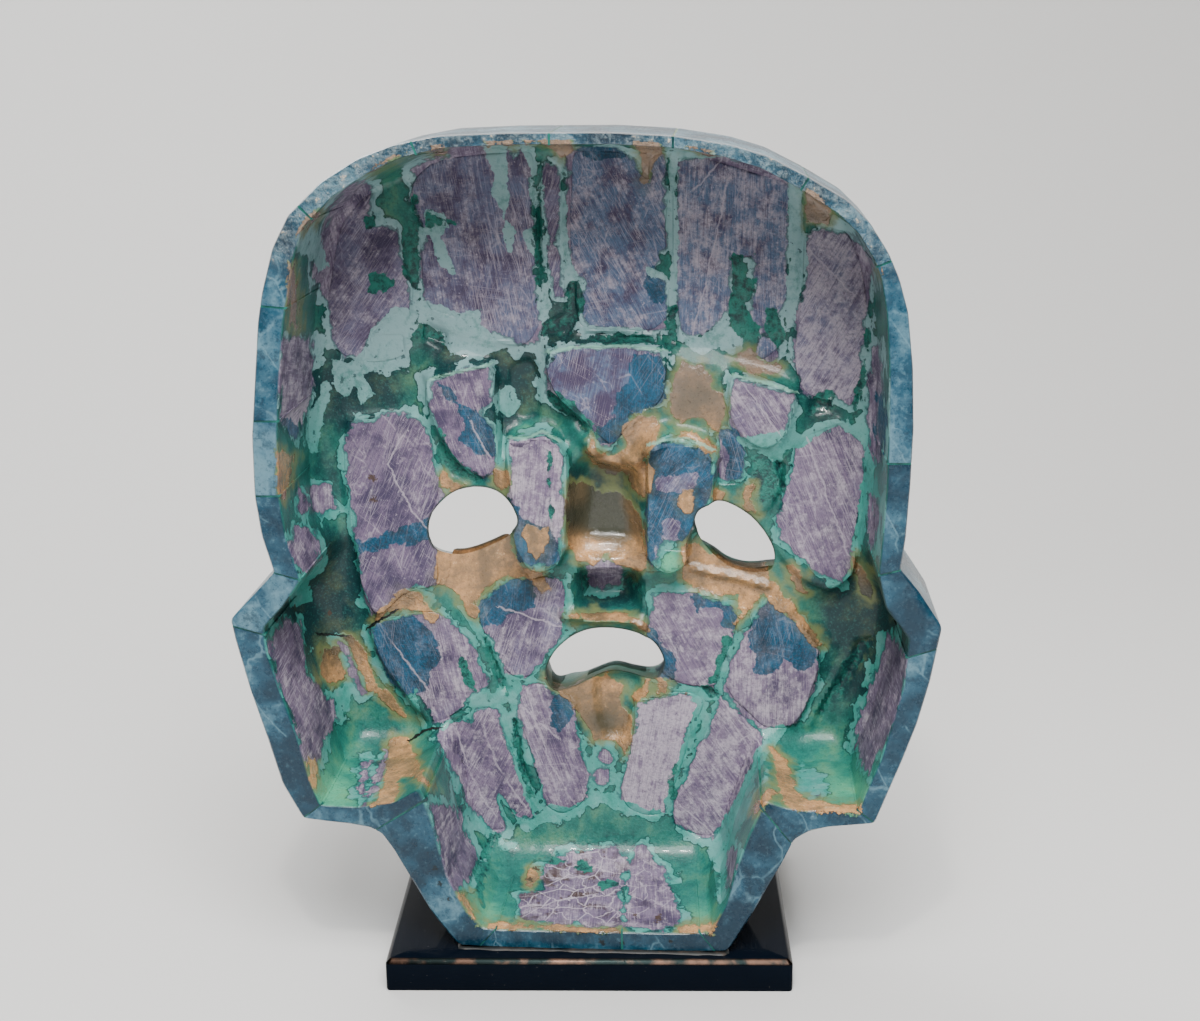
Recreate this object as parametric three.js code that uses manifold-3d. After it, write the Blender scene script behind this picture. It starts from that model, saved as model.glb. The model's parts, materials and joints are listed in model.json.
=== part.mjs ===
// A hollow face mask of ground stone plates set in resin, standing on a polished slab.
// Millimetres, +Z up. The origin is the middle of the slab's underside and the face looks to -Y,
// so +X is the mask's own left. In the mask's own group a depth is counted from the flat rim at
// the back, towards the face.

import * as THREE from 'three';
import Module from 'manifold-3d';

const wasm = await Module();
wasm.setup();

// Driving dimensions of the slab

const SLAB = { width: 120, length: 100, height: 10, chamfer: 1.8 };

// Driving dimensions of the mask

const RIM_PLACE = [0.2, 44];
const MASK_TURN = THREE.MathUtils.degToRad(-2.5);
const STANDING_GAP = 0.3;
const TOUCHING_GAP = 0.35;
const WALL_SEAM = 1.8;
const FLOOR_SEAM = 1.9;
const PLATE_SEAM = 1.3;
const RESIN_RECESS = 0.6;
const DEEPEST_WALL = 54;
const FACE_AXIS_X = -3;
const BEYOND_FACE = 120;
const PLATE_SIDES = 15;
const OPENING_SIDES = 20;
const RESIN_FILLET = { rise: 2.5, reach: 1.2 };
const RIM_JOINT = { fromOuterFace: 0.06, pastInnerFace: 0.5 };

// The floor outlines are written as they look against the rim plane from this point behind it
// [x, distance, z], and each one is carried from there to its own depth.
const VIEW_POINT = [-39.5, 504.8, 263.4];

// Openings of the face [x, z], cut straight through

const LEFT_EYE = [[50.9, 118.5], [49.5, 111.5], [42.4, 109.3], [33, 112], [25.8, 116.3],
  [22.9, 122], [27, 128.8], [33.7, 131.1], [42, 129.3], [48.3, 124]];
const RIGHT_EYE = [[-30.4, 121], [-33.5, 113.4], [-40, 107], [-47, 104.5], [-53, 105.2],
  [-54.2, 110.5], [-51, 117.8], [-44.5, 124.3], [-37.4, 127.1], [-31.8, 125.3]];
const MOUTH = [[15.7, 70], [13.5, 77], [7.4, 82.9], [-1.5, 86], [-10.3, 85], [-18, 81],
  [-20.9, 74.5], [-18.5, 69.7], [-12, 70.5], [-5.4, 71.8], [1, 69.6], [8, 66.3], [13.5, 65.8]];

// The rim, station by station round the mask from under the chin up its left side
// [outer x, outer z, inner x, inner z]. The inner edge leans inwards with depth by LEAN.

const RIM = [
  [-10, 0, -10, 5.8], [12, 0, 12, 5.8], [30, 0.2, 26, 5.8], [39, 0.5, 31.5, 6.3],
  [46.5, 11, 36.3, 11.5], [52.5, 22, 41, 21], [57, 30.5, 43.6, 31.5], [60.5, 35.8, 45.5, 41],
  [64, 37.8, 48.8, 50.5], [70, 38.8, 56, 46], [77, 39.5, 67, 44.2], [83.8, 40.3, 78.5, 44.6],
  [89.4, 51, 81.2, 52], [93.1, 65, 84.3, 66], [97.4, 80, 88.7, 80], [100.9, 95, 92, 92],
  [102, 101.5, 92.5, 99], [93, 110.8, 86.5, 105.5], [88.6, 115.5, 81, 113.5],
  [91.6, 126.4, 84.6, 125.5], [93, 138, 86, 138], [92.8, 155, 85.7, 155], [91.2, 170, 84.3, 170],
  [89.4, 187, 82.4, 187], [87.9, 195, 80.8, 194], [84.3, 207.5, 78.6, 205],
  [79.5, 216.5, 75.6, 213], [70, 225.5, 67, 221.5], [60, 231.5, 57.8, 227.3],
  [50, 235.2, 48.4, 231.6], [38, 237.4, 37, 234.2], [20, 238, 20, 235], [8, 238, 8, 235],
  [-8, 238, -8, 235], [-25, 237, -25, 234], [-40, 234.6, -39, 231.4], [-50, 231.6, -48.6, 228.4],
  [-61, 226, -59, 222.8], [-71.5, 219.8, -68.8, 216.6], [-77.5, 214, -74.5, 211.2],
  [-82.6, 206, -79, 204], [-85.6, 199.3, -81, 198.5], [-88.3, 190, -82.7, 189.5],
  [-90, 175, -83.7, 175], [-90.7, 158, -84, 158], [-90.3, 142, -84, 142], [-89.5, 127, -83.2, 127],
  [-88.3, 118, -82.4, 116.5], [-93.5, 112, -84.5, 107], [-100.4, 101.5, -91.3, 98],
  [-97.6, 85.5, -90.3, 84], [-94.4, 72.8, -87.3, 72], [-90.5, 61.4, -84.3, 61],
  [-86, 49.5, -80.5, 51.5], [-83.2, 42, -78.6, 45.6], [-77, 41.3, -71, 46],
  [-70, 40.6, -63, 45.4], [-64.5, 39.2, -56.5, 46.5], [-60.2, 36.5, -51.5, 48.5],
  [-57, 29.5, -46.8, 37], [-53, 22, -43.5, 27], [-48.5, 13, -40.8, 16], [-41.3, 0.5, -36.3, 6.5],
  [-32, 0.2, -28, 5.9],
];
const LEAN = { chin: 0.08, crown: 0.05, side: 0.01 };

// Stone plates of the rim: the stations that each one runs between

const WALLS = [
  ['chin_wall_left', 0, 2.3], ['jaw_wall_left', 2.3, 7.6], ['ear_wall_lower_left', 7.6, 11],
  ['ear_wall_outer_left', 11, 15.7], ['ear_wall_upper_left', 15.7, 18],
  ['temple_wall_lower_left', 18, 20], ['temple_wall_pale_left', 20, 21.3],
  ['temple_wall_middle_left', 21.3, 23.6], ['temple_wall_upper_left', 23.6, 26.3],
  ['crown_wall_outer_left', 26.3, 29.4], ['crown_wall_inner_left', 29.4, 32],
  ['crown_wall_middle', 32, 34], ['crown_wall_inner_right', 34, 37],
  ['crown_wall_outer_right', 37, 40.3], ['temple_wall_upper_right', 40.3, 44.6],
  ['temple_wall_lower_right', 44.6, 47], ['ear_wall_upper_right', 47, 49.4],
  ['ear_wall_outer_right', 49.4, 54], ['ear_wall_lower_right', 54, 58.2],
  ['jaw_wall_right', 58.2, 62.4], ['chin_wall_right', 62.4, 64],
];

// Stone plates of the face: depth of the ground back, then the outline as seen from VIEW_POINT.
// A depth of resin in front of the back means that the plate lies under resin.

const SEEN_PLATES = [
  ['forehead_outer_left', 47, [[71, 210], [64, 222], [55, 228], [46.3, 234], [45.3, 215],
    [45, 180], [52, 177], [60, 176.5], [67.5, 178], [71, 192]]],
  ['forehead_inner_left', 47, [[43.2, 236], [14, 236], [12.4, 220], [11.8, 205], [11.5, 184],
    [20, 181], [30, 183.5], [41, 188], [43.3, 205]]],
  ['forehead_sliver', 46.5, [[9.6, 236], [4.2, 236], [4.9, 205], [5.2, 192], [9.2, 192], [9.7, 210]]],
  ['forehead_middle', 47, [[2, 236], [-22.3, 237], [-23, 210], [-24, 187], [-15, 185.8],
    [0, 186.5], [0.8, 197], [2.6, 208]]],
  ['forehead_inner_right', 47, [[-26, 237], [-50, 232], [-56.6, 228], [-56.6, 190], [-53.5, 178],
    [-48, 177.5], [-42, 182], [-34, 182.5], [-27.5, 184], [-26, 195]]],
  ['forehead_outer_right', 45, [[-59.5, 223], [-66, 220], [-73, 213], [-79.4, 204], [-78.5, 185],
    [-76.8, 169], [-72, 166], [-64, 166.5], [-58.8, 172], [-59.5, 195]]],
  ['brow_left', 41, [[42.7, 171.3], [34, 173.5], [25, 175.2], [24.8, 165], [23.7, 155],
    [23.9, 147], [27, 144], [32, 146], [37.5, 151.5], [41.5, 160]]],
  ['glabella', 42, [[9.5, 178.5], [0, 180.3], [-12, 180.3], [-22.5, 179.3], [-22.8, 170],
    [-21, 165], [-12.5, 158.5], [-10.5, 154], [-6, 154], [-2, 158.5], [7.5, 168]]],
  ['brow_right', 41, [[-41.3, 172.3], [-49, 170.7], [-58, 167.7], [-57, 160], [-54.5, 154.5],
    [-50, 152.5], [-44.5, 155.5], [-41, 161]]],
  ['eyelid_right', 43, [[-38.5, 157.5], [-41.5, 156.5], [-46, 150.5], [-52, 149], [-54.6, 143],
    [-52.5, 137], [-48, 134], [-39, 138], [-37.6, 148]]],
  ['temple_left', 44, [[65, 160], [57, 161], [48.5, 162.5], [43.4, 157.5], [40.8, 148],
    [39.8, 138], [40.3, 124], [41.2, 113.8], [49.5, 111], [54.5, 106.3], [61.2, 103.3],
    [63.3, 112], [65, 126], [66.8, 142]]],
  ['temple_right', 44, [[-70.5, 161], [-76.3, 155.5], [-77.6, 145], [-77, 133], [-75.5, 120],
    [-72.8, 113], [-66, 112.8], [-60, 116.5], [-55.8, 121.5], [-52, 127], [-55, 137],
    [-57.6, 147], [-61, 155]]],
  ['nose_side_left', 37, [[21, 153.6], [14, 155], [8.5, 155], [5.3, 151], [4.6, 136],
    [5.5, 126], [6.5, 119.5], [10, 117], [16, 117], [18.5, 122], [20.5, 132], [20.5, 143]]],
  ['nose_side_right', 37, [[-19, 152.5], [-27, 153], [-35.5, 151.5], [-36, 140], [-34, 133],
    [-29, 126], [-27.5, 117], [-22, 116.7], [-18.8, 119], [-17.8, 128], [-18.2, 140]]],
  ['cheek_outer_left', 45, [[61.3, 99.5], [56, 102.3], [49, 104.3], [42, 104.3], [36, 100.8],
    [32.3, 94], [28.6, 85], [31, 80], [36.5, 75], [43.5, 70.5], [52.5, 80], [57, 86.5], [60, 93]]],
  ['cheek_inner_left', 45, [[30, 105], [22, 113.6], [14, 114.6], [7, 115], [5.3, 108],
    [4, 99], [11, 90], [15.5, 85.5], [22.5, 86], [26, 95], [29.5, 100]]],
  ['cheek_inner_right', 45, [[-18.5, 110.5], [-28, 111.6], [-40, 108.6], [-43.6, 104.5],
    [-42, 98], [-39, 89], [-36.8, 82.8], [-30, 83.7], [-24.5, 85], [-18, 93], [-16.5, 100]]],
  ['cheek_outer_right', 45, [[-52, 110.5], [-48, 104], [-44.5, 96], [-39.4, 84], [-45, 77.2],
    [-51.5, 71], [-60, 72], [-63, 79], [-66, 88], [-66, 95], [-61, 102.5], [-56, 107.5]]],
  ['jaw_outer_left', 45, [[43, 67.5], [37, 71.8], [31.5, 75.3], [26, 75.3], [23.2, 67],
    [18.7, 55], [15.6, 43.5], [19, 41.5], [24, 38], [28.5, 37.5], [34, 44.5], [39, 56]]],
  ['jaw_inner_left', 45, [[19, 79], [17, 82.6], [12, 82.6], [3.6, 79.5], [2.2, 70],
    [0.5, 58], [-0.6, 49], [8, 43.4], [12, 45.6], [14.8, 57], [17.2, 66], [19, 73]]],
  ['jaw_inner_right', 45, [[-14.8, 78.5], [-25, 81], [-31.3, 81.5], [-34, 77], [-30.5, 70],
    [-29, 63], [-25.6, 53], [-22.6, 43.6], [-16, 43.8], [-10, 47.6], [-11.5, 57], [-13.8, 70]]],
  ['jaw_outer_right', 45, [[-38.8, 79.6], [-44, 75], [-50.8, 67.8], [-49, 61.5], [-45.5, 54],
    [-41.5, 45.5], [-37, 36.3], [-31, 38], [-25.6, 40.6], [-25.2, 46], [-28.4, 54],
    [-31.8, 63], [-36, 73]]],
  ['brow_hollow_left', 52, [[21, 175], [12.2, 177], [11, 170], [10.6, 162], [20, 161.5],
    [21, 168]], 49.5],
  ['brow_hollow_right', 47.5, [[-26, 176.5], [-35.8, 175.5], [-37.6, 168], [-37, 158.5],
    [-27.5, 158], [-24.6, 162], [-25.6, 168]], 43.8],
];

// Plates written in the mask's own [x, z]

const PLACED_PLATES = [
  ['brow_outer_left', 51, [[71.5, 164.5], [62, 165], [55, 165.5], [53, 159], [56, 156.5],
    [66, 154.8], [73, 155.5], [74, 160]], 48.5],
  ['nose_bridge', 52, [[4.5, 142.8], [-1, 141], [-12, 142], [-14, 139], [-14, 128],
    [-12, 126.6], [4, 126.6], [5.6, 129], [5.6, 138]], 45],
  ['nose', 62, [[6.6, 112], [6.6, 100], [5, 93.2], [-1, 91.6], [-9, 92.4], [-13.4, 99],
    [-13.4, 110], [-12, 120], [-9, 123.2], [3, 123.2], [5.6, 119]], 44],
  ['under_eye_left', 50, [[45.4, 106], [44, 113], [25, 113], [25, 104.5], [31, 100.6],
    [38, 94.4], [41, 92.6], [45.2, 93.8]], 47.5],
  ['under_eye_right', 50, [[-29, 113], [-53, 112], [-56.4, 104.5], [-57, 99.6], [-53, 100.8],
    [-47.2, 95.6], [-42.4, 98.2], [-29, 102]], 47.5],
  ['lip_middle', 51, [[1.4, 76], [-14, 76], [-14.4, 64], [-11, 50], [-9, 32.5], [-1, 32.5],
    [0.2, 44], [2.6, 56], [3.6, 66]], 47.5],
  ['chin_front_left', 56, [[-1, 26], [9.5, 20.2], [19, 18.4], [27, 14.6], [27, 11.6],
    [-1, 11.6]], 40],
  ['chin_front_right', 56, [[-3.4, 26], [-3.4, 11.6], [-28, 11.6], [-29, 13.6], [-22, 17.2],
    [-16, 20], [-9, 23.6]], 40],
  ['ear_left', 50.5, [[76.5, 108], [84, 106], [92, 99], [87, 80], [82.5, 62], [78.5, 50],
    [69, 48.5], [57.5, 52.5], [62, 59], [68.5, 70], [73.5, 84], [74.5, 96]], 49],
  ['ear_right', 50.5, [[-80.5, 106], [-86, 103], [-92, 97], [-88.5, 80], [-84.5, 64],
    [-79, 50], [-68, 49.5], [-64, 52.5], [-68, 61], [-71.8, 72], [-72, 81], [-68.8, 89],
    [-72, 95.5], [-78.5, 98]], 49],
];

// Hollows in the resin: outline at the open side, depth there, then how far the floor shrinks
// and the floor's depth at its top and its bottom

const HOLLOWS = [
  { outline: [[6.3, 137], [7, 122], [7, 106], [6.5, 97], [3, 91.5], [-10, 91.5], [-14, 97],
    [-14.6, 108], [-14.2, 124], [-11.5, 135], [-3, 138.5]],
  open: 30, shrink: 0.62, floor: [53, 60.3] },
  { outline: [[24, 166], [17.8, 167], [17, 158], [18, 152], [24.5, 152], [26.5, 159]],
    open: 38, shrink: 0.6, floor: [50.3, 50.3] },
  { outline: [[0, 67], [-12.5, 67], [-12, 57], [-9.5, 49.5], [-3, 49.5], [0, 56]],
    open: 40, shrink: 0.6, floor: [49.6, 49.6] },
];

const COLOURS = {
  stone: { color: 0x3f6f8c, roughness: 0.35, metalness: 0 },
  paleStone: { color: 0x9fb3bb, roughness: 0.4, metalness: 0 },
  groundStone: { color: 0x7d6f86, roughness: 0.55, metalness: 0 },
  resin: { color: 0x2e8a74, roughness: 0.3, metalness: 0 },
  slab: { color: 0x0b1320, roughness: 0.12, metalness: 0 },
};

// Plane outlines

const centreOf = (outline) => outline
  .reduce((sum, [x, z]) => [sum[0] + x / outline.length, sum[1] + z / outline.length], [0, 0]);

function smoothOutline(points, count) {
  const knots = points.map(([x, z]) => new THREE.Vector3(x, 0, z));
  const curve = new THREE.CatmullRomCurve3(knots, true, 'centripetal');
  return curve.getSpacedPoints(count).slice(0, count).map((point) => [point.x, point.z]);
}

function signedArea(outline) {
  return outline.reduce((sum, [x, z], i) => {
    const [nextX, nextZ] = outline[(i + 1) % outline.length];
    return sum + (x * nextZ - nextX * z) / 2;
  }, 0);
}

// Moves every corner outwards so that each edge shifts by the same distance.
function grownOutline(outline, distance) {
  const turn = Math.sign(signedArea(outline));
  const count = outline.length;
  return outline.map(([x, z], i) => {
    const [beforeX, beforeZ] = outline[(i + count - 1) % count];
    const [afterX, afterZ] = outline[(i + 1) % count];
    const first = new THREE.Vector2(z - beforeZ, beforeX - x).normalize().multiplyScalar(turn);
    const second = new THREE.Vector2(afterZ - z, x - afterX).normalize().multiplyScalar(turn);
    const middle = first.clone().add(second).normalize();
    const reach = distance / Math.max(middle.dot(first), 0.5);
    return [x + middle.x * reach, z + middle.y * reach];
  });
}

function distanceToOutline(x, z, outline) {
  let nearest = Infinity;
  outline.forEach(([startX, startZ], i) => {
    const [endX, endZ] = outline[(i + 1) % outline.length];
    const alongX = endX - startX;
    const alongZ = endZ - startZ;
    const lengthSquared = alongX * alongX + alongZ * alongZ;
    const share = ((x - startX) * alongX + (z - startZ) * alongZ) / lengthSquared;
    const kept = THREE.MathUtils.clamp(share, 0, 1);
    nearest = Math.min(nearest, Math.hypot(x - startX - kept * alongX, z - startZ - kept * alongZ));
  });
  return nearest;
}

// Pulls a point back towards a centre until no fence lies between the two.
function keptInside([centreX, centreZ], [x, z], fences) {
  let share = 1;
  const rayX = x - centreX;
  const rayZ = z - centreZ;
  for (const fence of fences) {
    fence.forEach(([startX, startZ], i) => {
      const [endX, endZ] = fence[(i + 1) % fence.length];
      const alongX = endX - startX;
      const alongZ = endZ - startZ;
      const across = rayX * alongZ - rayZ * alongX;
      const onRay = ((startX - centreX) * alongZ - (startZ - centreZ) * alongX) / across;
      const onFence = ((startX - centreX) * rayZ - (startZ - centreZ) * rayX) / across;
      if (onFence >= 0 && onFence <= 1 && onRay > 0) share = Math.min(share, onRay);
    });
  }
  return [centreX + rayX * share, centreZ + rayZ * share];
}

function carriedToDepth([x, z], depth) {
  const scale = 1 + depth / VIEW_POINT[1];
  return [VIEW_POINT[0] + (x - VIEW_POINT[0]) * scale, VIEW_POINT[2] + (z - VIEW_POINT[2]) * scale];
}

// Rim outlines. A station between two listed ones lies on the straight line between them.

function rimAt(station) {
  const low = THREE.MathUtils.euclideanModulo(Math.floor(station), RIM.length);
  const high = (low + 1) % RIM.length;
  const share = station - Math.floor(station);
  return RIM[low].map((value, i) => THREE.MathUtils.lerp(value, RIM[high][i], share));
}

function leanAt(innerX, innerZ) {
  if (innerZ < 12 && Math.abs(innerX) < 40) return LEAN.chin;
  return innerZ > 225 ? LEAN.crown : LEAN.side;
}

// A point of the wall: across is 0 at the outer face and 1 at the inner face.
function wallPoint(station, across, depth) {
  const [outerX, outerZ, innerX, innerZ] = rimAt(station);
  const thickness = Math.hypot(innerX - outerX, innerZ - outerZ);
  const stretch = across * (1 + (leanAt(innerX, innerZ) * depth) / thickness);
  return [outerX + (innerX - outerX) * stretch, outerZ + (innerZ - outerZ) * stretch];
}

const OUTER_OUTLINE = RIM.map(([x, z]) => [x, z]);
const INNER_OUTLINE = RIM.map((_, station) => wallPoint(station, 1, DEEPEST_WALL));
const RESIN_OUTLINE = grownOutline(INNER_OUTLINE, -TOUCHING_GAP);
const PLATE_FENCE = grownOutline(INNER_OUTLINE, -FLOOR_SEAM);
const EYES_AND_MOUTH = [LEFT_EYE, RIGHT_EYE, MOUTH]
  .map((points) => smoothOutline(points, OPENING_SIDES));

// The front of the face, as a depth from the rim plane. Side is the distance from the face's axis.

const SHEET = { depth: 57.5, sideFall: 4, halfWidth: 85, endFall: 3, middle: 125 };
const ROUNDED_EDGE = { fall: 8, reach: 13 };
const NOSE = { height: 20, root: 142, tip: 98, base: 88.5, underside: 4.5, halfWidth: 7.5, spread: 6.5 };
const BROW = { height: 4.5, z: 141, side: 30, bend: 0.006, width: 7, end: 72, fade: 16 };
const EAR_STEP = { height: 0.8, side: 70, sideFade: 6, top: 114, topFade: 6 };
const EYES = { centres: [[37.5, 120.5], [-42, 116]], size: [14, 11] };
const SOCKET = { height: -4, place: 0, width: 2 };
const EYELID = { height: 3, place: 1.25, width: 0.22 };
const LIPS = { centre: [FACE_AXIS_X, 76], size: [18.5, 9.5], height: 4.5, place: 1.28, width: 0.24 };
const NOSTRILS = { height: 4.5, side: 10, z: 96, halfWidth: 5, rise: 6 };
const CHIN = { height: 6.5, side: 0, z: 24, halfWidth: 26, rise: 17 };
const CHEEKS = { height: 2.5, side: 42, z: 88, halfWidth: 22, rise: 20 };
const EAR_RIDGES = { height: 3, side: 86, z: 76, halfWidth: 6, rise: 24 };

const bell = (distance, width) => Math.exp(-((distance / width) ** 2));
const ramp = (value, from, to) => THREE.MathUtils.smoothstep((value - from) / (to - from), 0, 1);

function noseHeight(side, z) {
  const drop = NOSE.root - z;
  const length = NOSE.root - NOSE.tip;
  const bridge = NOSE.height * ramp(drop, 0, length) * ramp(z, NOSE.base, NOSE.base + NOSE.underside);
  const halfWidth = NOSE.halfWidth + NOSE.spread * ramp(drop, 0, length);
  return bridge * Math.exp(-((side / halfWidth) ** 2.6));
}

function browHeight(side, z) {
  const line = BROW.z - BROW.bend * (side - BROW.side) ** 2;
  return BROW.height * bell(z - line, BROW.width) * ramp(BROW.end - side, 0, BROW.fade);
}

function earHeight(side, z) {
  const { height, side: start, sideFade, top, topFade } = EAR_STEP;
  return height * ramp(side, start, start + sideFade) * ramp(top - z, 0, topFade);
}

const bump = (form, side, z) => form.height * bell(side - form.side, form.halfWidth)
  * bell(z - form.z, form.rise);

// A ring round an oval: reach is 1 on the oval itself.
function ringHeight(form, x, z, centre, size) {
  const reach = Math.hypot((x - centre[0]) / size[0], (z - centre[1]) / size[1]);
  return form.height * bell(reach - form.place, form.width);
}

function faceDepth(x, z) {
  const side = Math.abs(x - FACE_AXIS_X);
  const across = (side / SHEET.halfWidth) ** 2;
  const along = ((z - SHEET.middle) / SHEET.middle) ** 2;
  const edge = Math.min(distanceToOutline(x, z, OUTER_OUTLINE) / ROUNDED_EDGE.reach, 1);
  const heights = [
    -SHEET.sideFall * across,
    -SHEET.endFall * along,
    -ROUNDED_EDGE.fall * (1 - edge) ** 2,
    noseHeight(side, z),
    browHeight(side, z),
    earHeight(side, z),
    ringHeight(LIPS, x, z, LIPS.centre, LIPS.size),
    ...EYES.centres.map((centre) => ringHeight(SOCKET, x, z, centre, EYES.size)),
    ...EYES.centres.map((centre) => ringHeight(EYELID, x, z, centre, EYES.size)),
    ...[NOSTRILS, CHIN, CHEEKS, EAR_RIDGES].map((form) => bump(form, side, z)),
  ];
  return heights.reduce((sum, height) => sum + height, SHEET.depth);
}

// Closed surfaces, as points [x, depth, z] and triangles

const asSolid = ({ points, triangles }) => {
  const vertProperties = new Float32Array(points.flatMap(([x, depth, z]) => [x, -depth, z]));
  const facing = triangles.reduce((volume, [a, b, c]) => {
    const [p, q, r] = [a, b, c].map((i) => new THREE.Vector3().fromArray(vertProperties, 3 * i));
    return volume + p.dot(q.cross(r));
  }, 0) > 0;
  const triVerts = new Uint32Array(triangles.flatMap(([a, b, c]) => (facing ? [a, b, c] : [a, c, b])));
  return new wasm.Manifold(new wasm.Mesh({ numProp: 3, vertProperties, triVerts }));
};

// Joins rings of equal length, one after the other, and closes both ends on their middle points.
function closedLoft(rings, endPoints) {
  const count = rings[0].length;
  const points = [...rings.flat(), ...endPoints];
  const triangles = [];
  for (let ring = 0; ring + 1 < rings.length; ring += 1) {
    for (let i = 0; i < count; i += 1) {
      const here = ring * count + i;
      const next = ring * count + ((i + 1) % count);
      triangles.push([here, next, here + count], [next, next + count, here + count]);
    }
  }
  const last = (rings.length - 1) * count;
  const [firstEnd, lastEnd] = [rings.length * count, rings.length * count + 1];
  for (let i = 0; i < count; i += 1) {
    const next = (i + 1) % count;
    triangles.push([firstEnd, next, i], [lastEnd, last + i, last + next]);
  }
  return { points, triangles };
}

const ringAt = (outline, [centreX, centreZ], scale, depthAt) => outline.map(([x, z]) => {
  const place = [centreX + (x - centreX) * scale, centreZ + (z - centreZ) * scale];
  return [place[0], depthAt(...place), place[1]];
});

function straightBlock(outline, fromDepth, toDepth) {
  const faces = THREE.ShapeUtils.triangulateShape(outline.map(([x, z]) => new THREE.Vector2(x, z)), []);
  const count = outline.length;
  const points = [fromDepth, toDepth].flatMap((depth) => outline.map(([x, z]) => [x, depth, z]));
  const turn = signedArea(outline) > 0;
  const triangles = faces.flatMap(([a, b, c]) => [[a, b, c], [a + count, c + count, b + count]]);
  for (let i = 0; i < count; i += 1) {
    const next = (i + 1) % count;
    const [low, high] = turn ? [i, next] : [next, i];
    triangles.push([low, low + count, high], [high, low + count, high + count]);
  }
  return asSolid({ points, triangles });
}

// Floor plates: a flat ground back, straight sides, and the front on the face. Each one keeps
// clear of the walls and openings, and leaves a seam to those listed before it.

const floorPlates = [];

function addFloorPlate([name, back, drawn, resinDepth]) {
  const centre = centreOf(drawn);
  const earlier = floorPlates.map((plate) => grownOutline(plate.outline, PLATE_SEAM));
  const fences = [PLATE_FENCE, ...EYES_AND_MOUTH, ...earlier];
  const outline = smoothOutline(drawn, PLATE_SIDES)
    .map((point) => keptInside(centre, point, fences));
  floorPlates.push({ name, back, outline, centre, resinDepth });
}

for (const [name, back, seen, resinDepth] of SEEN_PLATES) {
  addFloorPlate([name, back, seen.map((point) => carriedToDepth(point, back)), resinDepth]);
}
PLACED_PLATES.forEach(addFloorPlate);

function floorPlateSolid({ outline, centre, back }) {
  const rings = [
    ringAt(outline, centre, 1, () => back),
    ...[1, 0.66, 0.33].map((scale) => ringAt(outline, centre, scale, faceDepth)),
  ];
  const ends = [[centre[0], back, centre[1]], [centre[0], faceDepth(...centre), centre[1]]];
  return asSolid(closedLoft(rings, ends));
}

// Wall plates: carried along the rim from one joint to the next

function stationsBetween(from, to) {
  const length = (start, end) => {
    const [a, b] = [rimAt(start), rimAt(end)];
    return Math.hypot(a[0] - b[0], a[1] - b[1]) / Math.abs(end - start);
  };
  const first = from + WALL_SEAM / 2 / length(from, from + 0.2);
  const last = to - WALL_SEAM / 2 / length(to - 0.2, to);
  const between = [];
  for (let station = Math.ceil(first + 0.15); station < last - 0.15; station += 1) between.push(station);
  return [first, ...between, last];
}

function wallRing(station, backDepth, acrossEnds, recess) {
  const [outside, inside] = acrossEnds;
  const middle = (outside + inside) / 2;
  const front = (across) => faceDepth(...wallPoint(station, across, DEEPEST_WALL)) - recess;
  return [[outside, backDepth], [inside, backDepth], [inside, front(inside)],
    [middle, front(middle)], [outside, front(outside)]]
    .map(([across, depth]) => {
      const [x, z] = wallPoint(station, across, depth);
      return [x, depth, z];
    });
}

const meanPoint = (ring) => [0, 1, 2]
  .map((axis) => ring.reduce((sum, point) => sum + point[axis] / ring.length, 0));

function carriedAlongRim(stations, backDepth, acrossEnds, recess) {
  const rings = stations.map((station) => wallRing(station, backDepth, acrossEnds, recess));
  return asSolid(closedLoft(rings, [meanPoint(rings[0]), meanPoint(rings.at(-1))]));
}

const wallPlateSolid = ([, from, to]) => carriedAlongRim(stationsBetween(from, to), 0, [0, 1], 0);

// Resin: one cast piece. Its plan is cut from a thin flat sheet, whose two faces are then moved
// to the resin's own depths behind and in front. Joints in the rim, and hollows, are added after.

function resinPlan() {
  let plan = straightBlock(RESIN_OUTLINE, 0, 1);
  const openings = [
    ...floorPlates.filter((plate) => !plate.resinDepth)
      .map((plate) => grownOutline(plate.outline, TOUCHING_GAP)),
    ...EYES_AND_MOUTH,
  ];
  for (const opening of openings) plan = plan.subtract(straightBlock(opening, -1, 2));
  return plan;
}

function resinBackDepth(x, z) {
  const nearest = floorPlates
    .map((plate) => ({ plate, gap: distanceToOutline(x, z, plate.outline) }))
    .reduce((best, next) => (next.gap < best.gap ? next : best)).plate;
  const level = nearest.resinDepth ?? nearest.back + RESIN_RECESS;
  const wallDistance = distanceToOutline(x, z, RESIN_OUTLINE);
  const climb = RESIN_FILLET.rise * bell(wallDistance, RESIN_FILLET.reach);
  return level - climb;
}

function movedToDepths(plan) {
  const mesh = plan.getMesh();
  const vertProperties = Float32Array.from(mesh.vertProperties);
  for (let i = 0; i < vertProperties.length; i += 3) {
    const [x, , z] = vertProperties.subarray(i, i + 3);
    const behind = vertProperties[i + 1] > -0.5;
    vertProperties[i + 1] = -(behind ? resinBackDepth(x, z) : faceDepth(x, z) - RESIN_RECESS);
  }
  return new wasm.Manifold(new wasm.Mesh({ numProp: 3, vertProperties, triVerts: mesh.triVerts }));
}

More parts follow.
